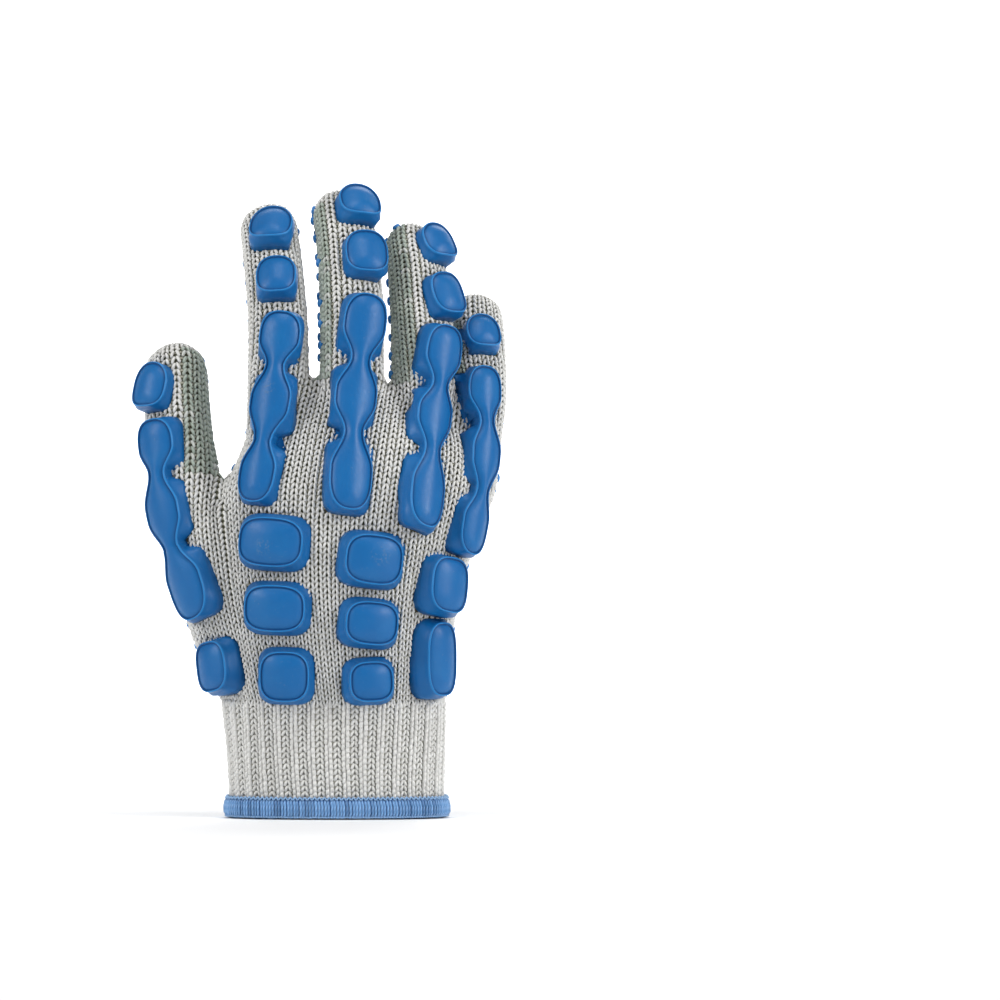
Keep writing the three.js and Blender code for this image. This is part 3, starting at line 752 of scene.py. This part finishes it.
class BlockPath:
    # the line of a block's lobes over the fabric, run on straight past both ends
    def __init__(self, lobes, height):
        rows = []
        for lobe in lobes:
            facing = facingOf(lobe[4], lobe[5])
            seat = seatAt((lobe[0] - height * facing[0]) * mm, (lobe[1] - height * facing[2]) * mm) / mm
            rows.append((seat, facing, lobe))
        seats = [r[0] for r in rows]
        if len(rows) == 1:
            lean = math.radians(-lobes[0][6])
            facing = rows[0][1]
            up = np.array([0, 0, 1.0])
            risen = facing * (facing @ up) * (1 - math.cos(lean))
            up = up * math.cos(lean) + np.cross(facing, up) * math.sin(lean) + risen
            way = -unit(up - facing * (up @ facing))
            startWay = endWay = way
        else:
            startWay = unit(seats[1] - seats[0])
            endWay = unit(seats[-1] - seats[-2])
        start = seats[0] - startWay * lobes[0][2] / 2
        end = seats[-1] + endWay * lobes[-1][2] / 2
        self.stops = np.array([start] + seats + [end])
        self.facings = np.array([rows[0][1]] + [r[1] for r in rows] + [rows[-1][1]])
        steps = np.linalg.norm(np.diff(self.stops, axis=0), axis=1)
        self.marks = np.concatenate([[0], np.cumsum(steps)])
        self.total = self.marks[-1]
        self.middles = self.marks[1:-1]

    def curve(self, i, w):
        # a smooth line through the stops: place and direction at share w of stretch i
        p = self.stops
        x0 = p[i - 1] if i > 0 else 2 * p[0] - p[1]
        x1, x2 = p[i], p[i + 1]
        x3 = p[i + 2] if i + 2 < len(p) else 2 * p[-1] - p[-2]
        d0, d1, d2 = np.linalg.norm(x1 - x0), np.linalg.norm(x2 - x1), np.linalg.norm(x3 - x2)
        t1 = ((x1 - x0) / d0 - (x2 - x0) / (d0 + d1) + (x2 - x1) / d1) * d1
        t2 = ((x2 - x1) / d1 - (x3 - x1) / (d1 + d2) + (x3 - x2) / d2) * d1
        k2, k3 = -3 * x1 + 3 * x2 - 2 * t1 - t2, 2 * x1 - 2 * x2 + t1 + t2
        return x1 + t1 * w + k2 * w * w + k3 * w ** 3, unit(t1 + 2 * k2 * w + 3 * k3 * w * w)

    def at(self, s):
        # place, outward direction and sideways direction at length s
        i = int(np.clip(np.searchsorted(self.marks, s, "right") - 1, 0, len(self.stops) - 2))
        share = (s - self.marks[i]) / (self.marks[i + 1] - self.marks[i])
        inside = min(max(share, 0), 1)
        point, along = self.curve(i, inside)
        point = point + along * (s - min(max(s, 0), self.total))
        facing = self.facings[i] * (1 - inside) + self.facings[i + 1] * inside
        facing = unit(facing - along * (facing @ along))
        return point, facing, np.cross(facing, along)


def blockLoop(lobes, middles, powers, neck, blunt):
    # a block's outline, as length along its path and offset to the side
    side = []
    for i, lobe in enumerate(lobes):
        half, wide = lobe[2] / 2, lobe[3] / 2
        for way in (-1, 1):
            other = i + way
            joined = 0 <= other < len(lobes)
            steps = block["neckSteps"] if joined else block["steps"]
            shares = np.linspace(0, 1, steps + 1)
            if way < 0:
                shares = shares[:0:-1]
            for share in shares:
                if joined:
                    gap = abs(middles[other] - middles[i]) - half - lobes[other][2] / 2
                    reach = half + gap / 2
                    share = share ** block["neckCrowding"]  # closer together near the neck
                    along = share * reach
                    if blunt:
                        slope = notch["end"] - notch["bottom"]
                        fall = np.clip((reach - along - notch["bottom"]) / slope, 0, 1)
                        curved = fall * fall * (3 - 2 * fall)
                        fall = fall * notch["straight"] + curved * (1 - notch["straight"])
                    else:
                        bent = np.clip((share - topPlateau) / (1 - topPlateau), 0, 1)
                        fall = 0.5 + 0.5 * math.cos(math.pi * bent)
                    across = neck + (1 - neck) * fall
                else:
                    power = 2 / powers[0 if way < 0 else 1]
                    turn = share * math.pi / 2
                    along, across = half * math.sin(turn) ** power, max(math.cos(turn), 0) ** power
                if i > 0 and way < 0 and share == 1:
                    continue  # the neck's middle is already there
                side.append((middles[i] + way * along, across * wide))
    return np.array([(s, -b) for s, b in side] + [(s, b) for s, b in side[1:-1]][::-1])


def loopOutwards(loop):
    along = np.roll(loop, -1, 0) - np.roll(loop, 1, 0)
    outwards = unit(np.stack([along[:, 1], -along[:, 0]], 1))
    middle = loop.mean(0)
    if ((loop - middle) * outwards).sum() < 0:
        outwards = -outwards
    return outwards


def blockPiece(name, kindName, lobes):
    kind, shape = blockKinds[kindName], blockShapes[kindName]
    path = BlockPath(lobes, kind["height"])
    footLoop = blockLoop(lobes, path.middles, shape["foot"], shape.get("footNeck", 1), True)
    topLoop = blockLoop(lobes, path.middles, shape["top"], shape.get("topNeck", 1), False)
    footOut, topOut = loopOutwards(footLoop), loopOutwards(topLoop)
    count = len(footLoop)
    widest = topLoop[:, 1].max()
    endReach = min(widest, path.total / 2) * block["spineShare"]
    spine = np.stack([np.clip(topLoop[:, 0], endReach, path.total - endReach), np.zeros(count)], 1)
    top, crown = kind["height"], kind["crown"]

    def placed(loop, high):
        made = []
        for s, b in loop:
            point, facing, side = path.at(s)
            made.append(point + side * b + facing * (high - b * b / (2 * kind["bend"])))
        return np.array(made)

    rings = []
    for share, grow, high in rimLevels:
        grow = kind["draft"] * block["wallFlare"] if grow is None else grow
        high = top * block["middleHeight"] if high == "mid" else high if high > 0 else top + high
        loop = footLoop * (1 - share) + topLoop * share + (footOut * (1 - share) + topOut * share) * grow
        rings.append(placed(loop, high))
    _, inwards, sunk = rimLevels[-1]
    inner = topLoop + topOut * inwards
    for keep in crownShares:
        rings.append(placed(spine + (inner - spine) * keep, top + sunk + (crown - sunk) * (1 - keep ** 2)))
    # the foot follows the fabric
    foot = []
    footEdge = footLoop + footOut * kind["draft"]
    for (s, b), wall in zip(footEdge, placed(footEdge, block["footHeight"])):
        facing = path.at(s)[1]
        hit, _, _, depth = bodyTree.ray_cast(Vector(wall * mm), Vector(-facing), block["reach"])
        beside = bodyTree.find_nearest(Vector(wall * mm))[0]
        # the further a corner hangs over a finger's side, the more it is drawn in to the fabric
        drawn = 1.0 if hit is None else np.clip((depth - block["hang"]) / block["hang"], 0, 1)
        at = beside if hit is None else bodyTree.find_nearest(hit.lerp(beside, drawn))[0]
        foot.append(np.array(at) / mm - facing * block["sunk"])
    foot = np.array(foot)
    sole = foot * block["soleShare"] + foot.mean(0) * (1 - block["soleShare"])
    rings = [sole, foot] + rings
    allPoints = np.concatenate(rings + [foot.mean(0)[None]]) * mm
    # tints for painted shade in the rim's groove and a painted highlight on its bead
    tint = np.zeros((len(allPoints), 4))
    for level, shade in rimTints.items():
        first = (level + 2) * count
        tint[first:first + count, :2] = shade
    faces = ringFaces(len(rings), count)
    faces += [((i + 1) % count, i, len(allPoints) - 1) for i in range(count)]
    piece = meshPiece("block_" + name, allPoints, faces, tint=tint)
    pointOutwards(piece, block["weld"])
    return dress(piece, rubberLook, ["pad_" + name])


blockPieces = [blockPiece(name, kindName, lobes) for name, (kindName, lobes) in blocks.items()]
print("blocks", len(blockPieces))

# Stitches

tileMargin = 0.06  # free share at each side of a tube's tile on the baking map


def tubes(paths, ups, radii, sides):
    # one tube with pointed ends for each path, as arrays, because there are thousands of them
    count, stops = paths.shape[:2]
    along = np.empty_like(paths)
    along[:, 1:-1] = paths[:, 2:] - paths[:, :-2]
    along[:, 0] = paths[:, 1] - paths[:, 0]
    along[:, -1] = paths[:, -1] - paths[:, -2]
    along = unit(along)
    side = unit(np.cross(along, ups))
    up = np.cross(side, along)
    turn = 2 * math.pi * np.arange(sides) / sides
    spokes = np.cos(turn)[:, None] * side[:, 1:-1, None] + np.sin(turn)[:, None] * up[:, 1:-1, None]
    rings = paths[:, 1:-1, None] + spokes * np.broadcast_to(radii, (count, stops - 2))[..., None, None]
    each = (stops - 2) * sides + 2
    points = np.concatenate([rings.reshape(count, -1, 3), paths[:, :1], paths[:, -1:]], 1).reshape(-1, 3)
    quads, quadUv, tris, triUv = [], [], [], []
    tail = each - 2
    for j in range(stops - 3):
        for i in range(sides):
            k = (i + 1) % sides
            quads.append((j * sides + i, (j + 1) * sides + i, (j + 1) * sides + k, j * sides + k))
            u0, u1 = i / sides, (i + 1) / sides
            v0, v1 = (j + 1) / (stops - 1), (j + 2) / (stops - 1)
            quadUv.append(((u0, v0), (u0, v1), (u1, v1), (u1, v0)))
    last = (stops - 3) * sides
    for i in range(sides):
        k = (i + 1) % sides
        u0, u1 = i / sides, (i + 1) / sides
        tris.append((tail, i, k))
        triUv.append((((u0 + u1) / 2, 0), (u0, 1 / (stops - 1)), (u1, 1 / (stops - 1))))
        tris.append((tail + 1, last + k, last + i))
        triUv.append((((u0 + u1) / 2, 1), (u1, 1 - 1 / (stops - 1)), (u0, 1 - 1 / (stops - 1))))
    offsets = np.arange(count) * each
    quadsAll = (np.array(quads)[None] + offsets[:, None, None]).reshape(-1, 4)
    trisAll = (np.array(tris)[None] + offsets[:, None, None]).reshape(-1, 3)
    tiles = math.ceil(math.sqrt(count))
    tile = np.stack([np.arange(count) % tiles, np.arange(count) // tiles], 1).astype(float)

    def spread(pattern):
        pattern = np.array(pattern, float)
        local = np.broadcast_to(pattern, (count, *pattern.shape))
        packed = (tile[:, None, None] + tileMargin + (1 - 2 * tileMargin) * local) / tiles
        return local.reshape(-1, 2), packed.reshape(-1, 2)

    uvQ, bakeQ = spread(quadUv)
    uvT, bakeT = spread(triUv)
    faces = quadsAll.tolist() + trisAll.tolist()
    return points, faces, np.concatenate([uvQ, uvT]), np.concatenate([bakeQ, bakeT]), each


def onCells(points, normals, ids, u, v):
    # places and directions at shares u across and v down each cell
    a, b, c, d = (points[ids[:, i]][:, None] for i in range(4))
    na, nb, nc, nd = (normals[ids[:, i]][:, None] for i in range(4))
    u, v = np.asarray(u)[..., None], np.asarray(v)[..., None]
    place = (1 - v) * ((1 - u) * a + u * b) + v * ((1 - u) * c + u * d)
    way = (1 - v) * ((1 - u) * na + u * nb) + v * ((1 - u) * nc + u * nd)
    return place, unit(way)


# a leg's points: v runs down the cell, u is the distance from the cell's middle, high is over the fabric
handStitch = {"sides": 6, "cell": 3.4 * mm,
              "v": [-0.24, 0.08, 0.50, 0.95, 1.20],
              "u": [0.115, 0.150, 0.250, 0.350, 0.375],
              "high": [-1.10, -0.58, -0.20, -0.28, -0.92],
              "thick": [0.48, 0.55, 0.51], "stagger": 0}
cuffStitch = {"sides": 6, "cell": 3.45 * mm,
              "v": [-0.16, 0.10, 0.48, 0.92, 1.14],
              "u": [0.050, 0.100, 0.240, 0.370, 0.410],
              "high": [-1.15, -0.50, -0.16, -0.30, -1.05],
              "thick": [0.53, 0.64, 0.58], "stagger": 0}
cuffBetweenStitch = {"sides": 6, "cell": 3.45 * mm,
                     "v": [-0.32, 0.02, 0.45, 0.98, 1.24],
                     "u": [0.175, 0.190, 0.225, 0.260, 0.270],
                     "high": [-1.25, -0.66, -0.36, -0.36, -0.90],
                     "thick": [0.70, 0.82, 0.78], "stagger": 0.45}
# how far the legs differ from each other; a leg also thickens with its cell's width, by power and limits
uneven = {"sway": 0.018, "along": 0.03, "high": 0.05, "thick": (0.94, 1.06), "shade": 0.22,
          "power": 0.6, "limits": (0.75, 1.35)}


def stitchPiece(name, stitch, points, normals, ids, zone, squeeze, pressed):
    # squeeze draws the two legs of a stitch together, and pressed is how far it is pushed in, in millimetres
    count = len(ids)
    width = np.linalg.norm(points[ids[:, 1]] - points[ids[:, 0]], axis=1)
    full = np.clip(width[:, None] / stitch["cell"], *uneven["limits"]) ** uneven["power"]
    paths, ways, radii, shades = [], [], [], []
    for side in (-1, 1):
        sway = draw.normal(0, uneven["sway"], (count, 1))
        u = 0.5 + side * (np.array(stitch["u"])[None] - squeeze[:, None]) + sway
        v = np.array(stitch["v"])[None] + draw.normal(0, uneven["along"], (count, 1))
        v = v + (stitch["stagger"] if side > 0 else 0)
        place, way = onCells(points, normals, ids, u, v)
        high = np.array(stitch["high"])[None] + draw.normal(0, uneven["high"], (count, 1)) - pressed[:, None]
        paths.append(place + way * high[..., None] * mm)
        ways.append(way)
        thick = np.array(stitch["thick"])[None] * full * mm
        radii.append(thick * draw.uniform(*uneven["thick"], (count, 1)))
        shade = draw.uniform(0, uneven["shade"], count)
        shades.append(np.stack([shade, zone, np.zeros(count), np.ones(count)], 1))
    legs = tubes(np.concatenate(paths), np.concatenate(ways), np.concatenate(radii), stitch["sides"])
    made, faces, uv, bake, each = legs
    piece = meshPiece(name, made, faces, uv, bake, np.repeat(np.concatenate(shades), each, 0))
    return dress(piece, yarnLook)


# how far the stitches at a block's foot are pressed in, in millimetres, and the share of a cell's corners
# that a block has to cover for the stitch to be left out
pressing = {"depth": 0.62, "covered": 0.7}


def underBlocks(places, ways):
    # a place is under a block where the way out of the fabric meets a block's face from within
    corners, faces = [], []
    for piece in blockPieces:
        base = len(corners)
        corners += [tuple(v.co) for v in piece.data.vertices]
        faces += [[base + i for i in face.vertices] for face in piece.data.polygons]
    tree = BVHTree.FromPolygons(corners, faces)
    found = []
    for place, way in zip(places, ways):
        across = tree.ray_cast(Vector(place), Vector(way))[1]
        found.append(across is not None and across.dot(Vector(way)) > 0)
    return np.array(found)


def hiddenCells():
    # cells under a block are left out, and those at its edge are pressed in, so that its foot shows clean
    middleUnder = underBlocks(points[cellIds].mean(1), unit(bodyWay[cellIds].mean(1)))
    share = underBlocks(points, bodyWay)[cellIds].mean(1)
    hidden = middleUnder & (share > pressing["covered"])
    return hidden, np.minimum(share * 2, 1) * pressing["depth"]


# the wales knitted in grey green, as the first and the last column on the front and on the palm side,
# and how many rows of a digit's tip stay white
greyWales = {"thumb": ((5, 9), (6, 9)), "middle": ((18, 21), (18, 20)),
             "ring": ((27, 31), (27, 29)), "little": ((36, 38), (36, 37))}
whiteRows = {"thumb": 6, "middle": 6, "ring": 3, "little": 3}
greyShades = {"least": 0.75, "most": 0.95, "mixed": 0.35, "mixedShare": 0.15}


def greyZone():
    zone = np.zeros(len(cellIds))
    for name, sheets in greyWales.items():
        top = digitNet[name]["join"] - digitNet[name]["rows"] + whiteRows[name]
        for front, (first, last) in zip((True, False), sheets):
            chosen = (cellName == name) & (cellFront == front) & (cellRow >= top)
            chosen &= (cellColumn >= first) & (cellColumn < last)
            zone[chosen] = draw.uniform(greyShades["least"], greyShades["most"], chosen.sum())
            atEdge = (cellColumn == first) | (cellColumn == last - 1)
            mixed = chosen & atEdge & (draw.random(len(zone)) < greyShades["mixedShare"])
            zone[mixed] = greyShades["mixed"]
    return zone


# shares of a cell's width
squeezeBy = {"hand": 0.004, "digit": 0.022, "vary": 0.034, "narrow": 0.6}


def squeezeOf():
    # the fabric is stretched unevenly: in places a stitch's legs close up and the holes by it widen
    x, _, z = (points[cellIds].mean(1) / mm).T
    broad = np.sin(0.21 * x + 0.6) * np.sin(0.065 * z + 1.1)
    narrow = np.sin(0.43 * x - 0.05 * z)
    base = np.where(cellName == "hand", squeezeBy["hand"], squeezeBy["digit"])
    return base + squeezeBy["vary"] * (broad + squeezeBy["narrow"] * narrow) / (1 + squeezeBy["narrow"])


hidden, pressed = hiddenCells()
zone = greyZone()
squeeze = squeezeOf()
groups = {
    "knit_back": cellFront & (cellName == "hand"),
    "knit_palm": ~cellFront & (cellName == "hand"),
    "knit_index_middle": np.isin(cellName, ["index", "middle"]),
    "knit_ring_little": np.isin(cellName, ["ring", "little"]),
    "knit_thumb": cellName == "thumb",
}
for name, chosen in groups.items():
    chosen = chosen & ~hidden
    each = [whole[chosen] for whole in (cellIds, zone, squeeze, pressed)]
    stitchPiece(name, handStitch, points, normals, *each)
    print(name, int(chosen.sum()), "stitches")
# every other wale of the cuff lies deeper and shows its stitches, and those between are drawn up smooth
cuffWales = {"knit_cuff": (cuffStitch, 0, 0.42), "knit_cuff_between": (cuffBetweenStitch, 1, -0.05)}
for name, (stitch, first, deep) in cuffWales.items():
    chosenCells = cuffIds[first::2]
    plain = np.zeros(len(chosenCells))
    stitchPiece(name, stitch, cuffPoints, cuffNormals, chosenCells, plain, plain, plain + deep)

# The lining behind the stitches, which is also the inside of the glove; its outward face is painted dark as
# shade seen through the holes

skin = {"outside": 0.9 * mm, "cuffOutside": 0.95 * mm, "inside": 2.1 * mm, "overlap": 2.5 * mm}


def handSkin():
    low = net["lowestRow"] - 1
    base = len(points)
    outer = points - normals * skin["outside"]
    inner = points - normals * skin["inside"]
    faces, uv = [], []
    for (a, b, c, d), front, row, column in zip(cellIds, cellFront, cellRow, cellColumn):
        loop = [(a, 0, 0), (c, 0, 1), (d, 1, 1), (b, 1, 0)]
        if not front:
            loop = loop[::-1]
        faces.append([int(i) for i, _, _ in loop])
        uv += [(column + u, row + v) for _, u, v in loop]
        faces.append([int(i) + base for i, _, _ in reversed(loop)])
        uv += [(column + u, row + v) for _, u, v in reversed(loop)]
        if row == low:
            rim = [d, c, c + base, d + base] if front else [c, d, d + base, c + base]
            faces.append([int(i) for i in rim])
            uv += [(column, row + 1)] * 4
    tint = np.zeros((2 * base, 4))
    tint[base:, 0] = 1
    piece = meshPiece("knit_lining", np.concatenate([outer, inner]), faces, uv, tint=tint)
    return dress(piece, liningLook, ["knit_shell"])


def cuffSkin():
    count, rows = cuff["columns"], cuff["rows"]
    outer = cuffPoints - cuffNormals * skin["cuffOutside"]
    inner = cuffPoints - cuffWay * skin["inside"]
    outer[:count, 2] += skin["overlap"]
    inner[:count, 2] += skin["overlap"]
    base = len(outer)
    faces, uv = [], []
    for r in range(rows):
        for c in range(count):
            loop = [(r, c), (r, c + 1), (r + 1, c + 1), (r + 1, c)]
            ids = [row * count + column % count for row, column in loop]
            faces += [ids[::-1], [i + base for i in ids]]
            uv += [(column, row) for row, column in loop[::-1] + loop]
    for r, turned in ((0, False), (rows, True)):
        for c in range(count):
            k = (c + 1) % count
            rim = [r * count + c, r * count + k, r * count + k + base, r * count + c + base]
            faces.append(rim[::-1] if turned else rim)
            uv += [(c, r)] * 4
    tint = np.zeros((2 * base, 4))
    tint[base:, 0] = 1
    tint[:, 1] = 1
    piece = meshPiece("cuff_lining", np.concatenate([outer, inner]), faces, uv, tint=tint)
    pointOutwards(piece)
    return dress(piece, liningLook, ["knit_shell"])


handSkin()
cuffSkin()
print("lining made")

# Grip dots on the palm side

# levels are shares of the radius and of the height
dot = {"radius": 1.75 * mm, "height": 1.2 * mm, "sides": 14, "lowestRow": 56, "tipGap": 4,
       "levels": [(1.0, -0.6), (1.0, 0.20), (0.94, 0.50), (0.78, 0.76), (0.45, 0.95)], "foot": 0.75,
       "vary": (0.93, 1.07)}
# how far round the left and the right side of each digit the dots reach: the least part of the normal
# towards the palm side
dotLimits = {"thumb": (0.3, 0.42), "index": (0.2, 0.25), "middle": (-0.22, 0.35), "ring": (-0.22, 0.45),
             "little": (-0.15, 0.45), "hand": (0.2, 0.2)}


def dotPlaces():
    # staggered like the dark squares of a board, on every other row
    made = []
    for (sheet, owner, row, column), i in netIds.items():
        if row % 2 or (column + row // 2) % 2 or row > dot["lowestRow"]:
            continue
        if owner == "hand" and (sheet == "front" or (sheet == "both" and (row, column) in crotches)):
            continue
        if owner != "hand" and row < digitNet[owner]["join"] - digitNet[owner]["rows"] + dot["tipGap"]:
            continue
        left, right = dotLimits[owner]
        if normals[i][1] > left + (right - left) * (normals[i][0] + 1) / 2:
            made.append(i)
    return np.array(made)


def dotPiece():
    chosen = dotPlaces()
    centre, way = points[chosen], normals[chosen]
    side = unit(np.cross(way, np.array([0.0, 0.0, 1.0])))
    up = np.cross(side, way)
    levels, sides = dot["levels"], dot["sides"]
    turn = 2 * math.pi * np.arange(sides)[None, :, None] / sides
    spokes = np.cos(turn) * side[:, None] + np.sin(turn) * up[:, None]
    spokes = spokes * dot["radius"] * draw.uniform(*dot["vary"], (len(chosen), 1, 1))
    rings = []
    for share, high in levels:
        rings.append(centre[:, None] + spokes * share + way[:, None] * high * dot["height"])
    tops = centre + way * dot["height"]
    feet = centre - way * dot["height"] * dot["foot"]
    every = np.concatenate([*rings, tops[:, None], feet[:, None]], 1)
    each = every.shape[1]
    top = (len(levels) - 1) * sides
    faces = ringFaces(len(levels), sides)
    for i in range(sides):
        k = (i + 1) % sides
        faces += [(top + i, top + k, each - 2), (k, i, each - 1)]
    allFaces = [[v + n * each for v in face] for n in range(len(chosen)) for face in faces]
    piece = meshPiece("grip_dots", every.reshape(-1, 3), allFaces)
    dress(piece, dotLook)
    print("dots", len(chosen))


dotPiece()

# Bound edge of the cuff

# the binding's points are given as how far out of the cuff's lowest ring, height and, in a thread's path,
# the share of the step to the next thread; out and height are in millimetres
binding = {"seat": 1.5 * mm, "core": 72,
           "profile": [(0.4, 0.6), (1.3, 0.5), (1.9, 2), (1.8, 6.4), (1.0, 7.9), (0.2, 8.3), (0.2, 1.5),
                       (-2.3, 1.5), (-2.3, 7.0), (-3.0, 6.2), (-2.9, 1.0), (-2.3, 0.5)]}
wraps = {"count": 176, "thick": 0.56 * mm, "vary": (0.9, 1.08), "lean": 0.06, "waver": 0.06 * mm, "sides": 6,
         "path": [(0.4, 7.0, 0.0), (1.15, 6.95, 0.0), (1.75, 6.3, 0.1), (2.15, 4.4, 0.35), (2.1, 2.2, 0.35),
                  (1.3, 0.75, 0.2), (-0.9, 0.55, 0.1), (-2.9, 1.6, 0.2), (-3.2, 4.0, 0.3), (-2.9, 6.4, 0.2),
                  (-2.4, 7.0, 0.2)]}
# a chain of small stitches along the upper edge and a row of knots along the lower one
loops = {"waver": 0.05 * mm, "sides": 5}
loopRows = {
    "binding_loops_upper": {"count": 112, "thick": 0.36 * mm,
                            "path": [(1.5, 7.1, -0.55), (1.75, 7.5, -0.42), (1.25, 8.35, 0),
                                     (1.75, 7.5, 0.42), (1.5, 7.1, 0.55)]},
    "binding_loops_lower": {"count": 208, "thick": 0.34 * mm,
                            "path": [(1.2, 0.9, -0.5), (1.6, 0.85, -0.3), (1.85, 0.75, 0.1),
                                     (1.55, 0.7, 0.5), (1.2, 0.75, 0.7)]},
}


# the core under the wraps is the binding's blue darkened with painted shade, so the gaps between the wraps
# read dark
def bindingCore():
    count, rows = binding["core"], len(binding["profile"])
    ring, outward = cuffRing(binding["seat"], count)
    rings = []
    for out, z in binding["profile"]:
        rings.append(ring + outward * out * mm)
        rings[-1][:, 2] = z * mm
    corner = ((0, 0), (0, 1), (1, 1), (1, 0))
    uv = [((r + a) / rows, (i + b) / count) for r in range(rows) for i in range(count) for a, b in corner]
    piece = meshPiece("binding_core", np.concatenate(rings), ringFaces(rows, count, closed=True), uv)
    pointOutwards(piece)
    return dress(piece, threadCoreShadeLook, ["cuff_binding"])


def threadPaths(path, count, waver, lean=0.0):
    ring, outward = cuffRing(binding["seat"], count)
    ahead = np.roll(ring, -1, 0) - ring
    places = []
    for out, z, share in path:
        place = ring + ahead * (share + lean) + outward * out * mm
        place[:, 2] = z * mm + draw.normal(0, waver, count)
        places.append(place)
    return np.stack(places, 1), np.stack([outward] * len(path), 1)


def bindingThreads():
    count = wraps["count"]
    lean = draw.normal(0, wraps["lean"], (count, 1))
    paths, ways = threadPaths(wraps["path"], count, wraps["waver"], lean)
    up = np.cross(np.gradient(paths, axis=1), np.cross(ways, np.array([0, 0, 1.0])))
    radii = np.full((count, len(wraps["path"]) - 2), wraps["thick"])
    radii *= draw.uniform(*wraps["vary"], (count, 1))
    made, faces, uv, bake, each = tubes(paths, up, radii, wraps["sides"])
    tint = np.zeros((count, 4))
    tint[:, 0] = draw.uniform(0, 1, count) ** 2
    piece = meshPiece("binding_threads", made, faces, uv, bake, np.repeat(tint, each, 0))
    dress(piece, threadLook, ["cuff_binding"])


def bindingLoops():
    for name, row in loopRows.items():
        paths, ways = threadPaths(row["path"], row["count"], loops["waver"])
        radii = np.full((row["count"], len(row["path"]) - 2), row["thick"])
        made, faces, uv, bake, _ = tubes(paths, ways, radii, loops["sides"])
        dress(meshPiece(name, made, faces, uv, bake), threadLoopLook)


bindingCore()
bindingThreads()
bindingLoops()
print("binding made")

# Floor, light and camera

stage = {"pale": (0.9, 0.9, 0.9), "wide": 9.0, "front": -4.2, "back": 4.6, "cove": 1.4, "coveSteps": 12,
         "high": 5.0, "lowered": 0.2 * mm}


def stagePiece():
    # a floor that bends up into a wall behind the glove
    bend, steps = stage["cove"], stage["coveSteps"]
    profile = [(stage["front"], 0.0)]
    for step in range(steps + 1):
        angle = math.pi / 2 * step / steps
        profile.append((stage["back"] - bend + bend * math.sin(angle), bend * (1 - math.cos(angle))))
    profile.append((stage["back"], stage["high"]))
    made = [(side * stage["wide"] / 2, y, z - stage["lowered"]) for side in (-1, 1) for y, z in profile]
    count = len(profile)
    faces = [(i, i + count, i + count + 1, i + 1) for i in range(count - 1)]
    floor = meshPiece("floor", made, faces)
    floor.data.materials.append(newMaterial("paper", stage["pale"], 0.95, Specular_IOR_Level=0.1)[0])


stagePiece()

# place, aim, size and power
lights = {
    "left": ((-1.7, -1.0, 1.1), (0, 0, 0.13), 1.1, 22),
    "right": ((1.7, -0.9, 1.0), (0, 0, 0.13), 1.1, 27),
    "top": ((0.0, -0.7, 2.0), (0, 0, 0.1), 1.0, 12),
    "rear": ((0.3, 1.4, 1.2), (0, 0, 0.12), 1.0, 6),
    "backdrop": ((0.0, 1.9, 2.4), (0, 4.2, 0.2), 2.4, 190),
}
skyStrength = 0.28


def areaLight(name, place, aim, size, power):
    light = bpy.data.lights.new(name, "AREA")
    light.shape = "DISK"
    light.size = size
    light.energy = power
    obj = bpy.data.objects.new(name, light)
    bpy.context.scene.collection.objects.link(obj)
    obj.location = place
    obj.rotation_euler = (Vector(aim) - Vector(place)).to_track_quat("-Z", "Y").to_euler()


def softWorld():
    world = bpy.data.worlds.new("soft")
    world.use_nodes = True
    background = world.node_tree.nodes["Background"]
    background.inputs[0].default_value = (1, 1, 1, 1)
    background.inputs[1].default_value = skyStrength
    bpy.context.scene.world = world


for name, settings in lights.items():
    areaLight(name, *settings)
softWorld()
bpy.context.scene.view_settings.view_transform = "Standard"

# the picture's side and the middle of the wrist's lower edge in it, in pixels of scale metres each
shot = {"scale": 0.3864 * mm, "pixels": 1000, "wristColumn": 338, "wristRow": 817, "distance": 3.0,
        "sensor": 36.0}


def shotCamera():
    camera = bpy.data.objects.new("camera", bpy.data.cameras.new("camera"))
    bpy.context.scene.collection.objects.link(camera)
    middle = shot["pixels"] / 2
    across = (middle - shot["wristColumn"]) * shot["scale"]
    camera.location = (across, -shot["distance"], (shot["wristRow"] - middle) * shot["scale"])
    camera.rotation_euler = (math.pi / 2, 0, 0)
    camera.data.sensor_width = shot["sensor"]
    camera.data.lens = shot["sensor"] * shot["distance"] / (shot["pixels"] * shot["scale"])
    camera.data.clip_end = 50
    bpy.context.scene.camera = camera


shotCamera()
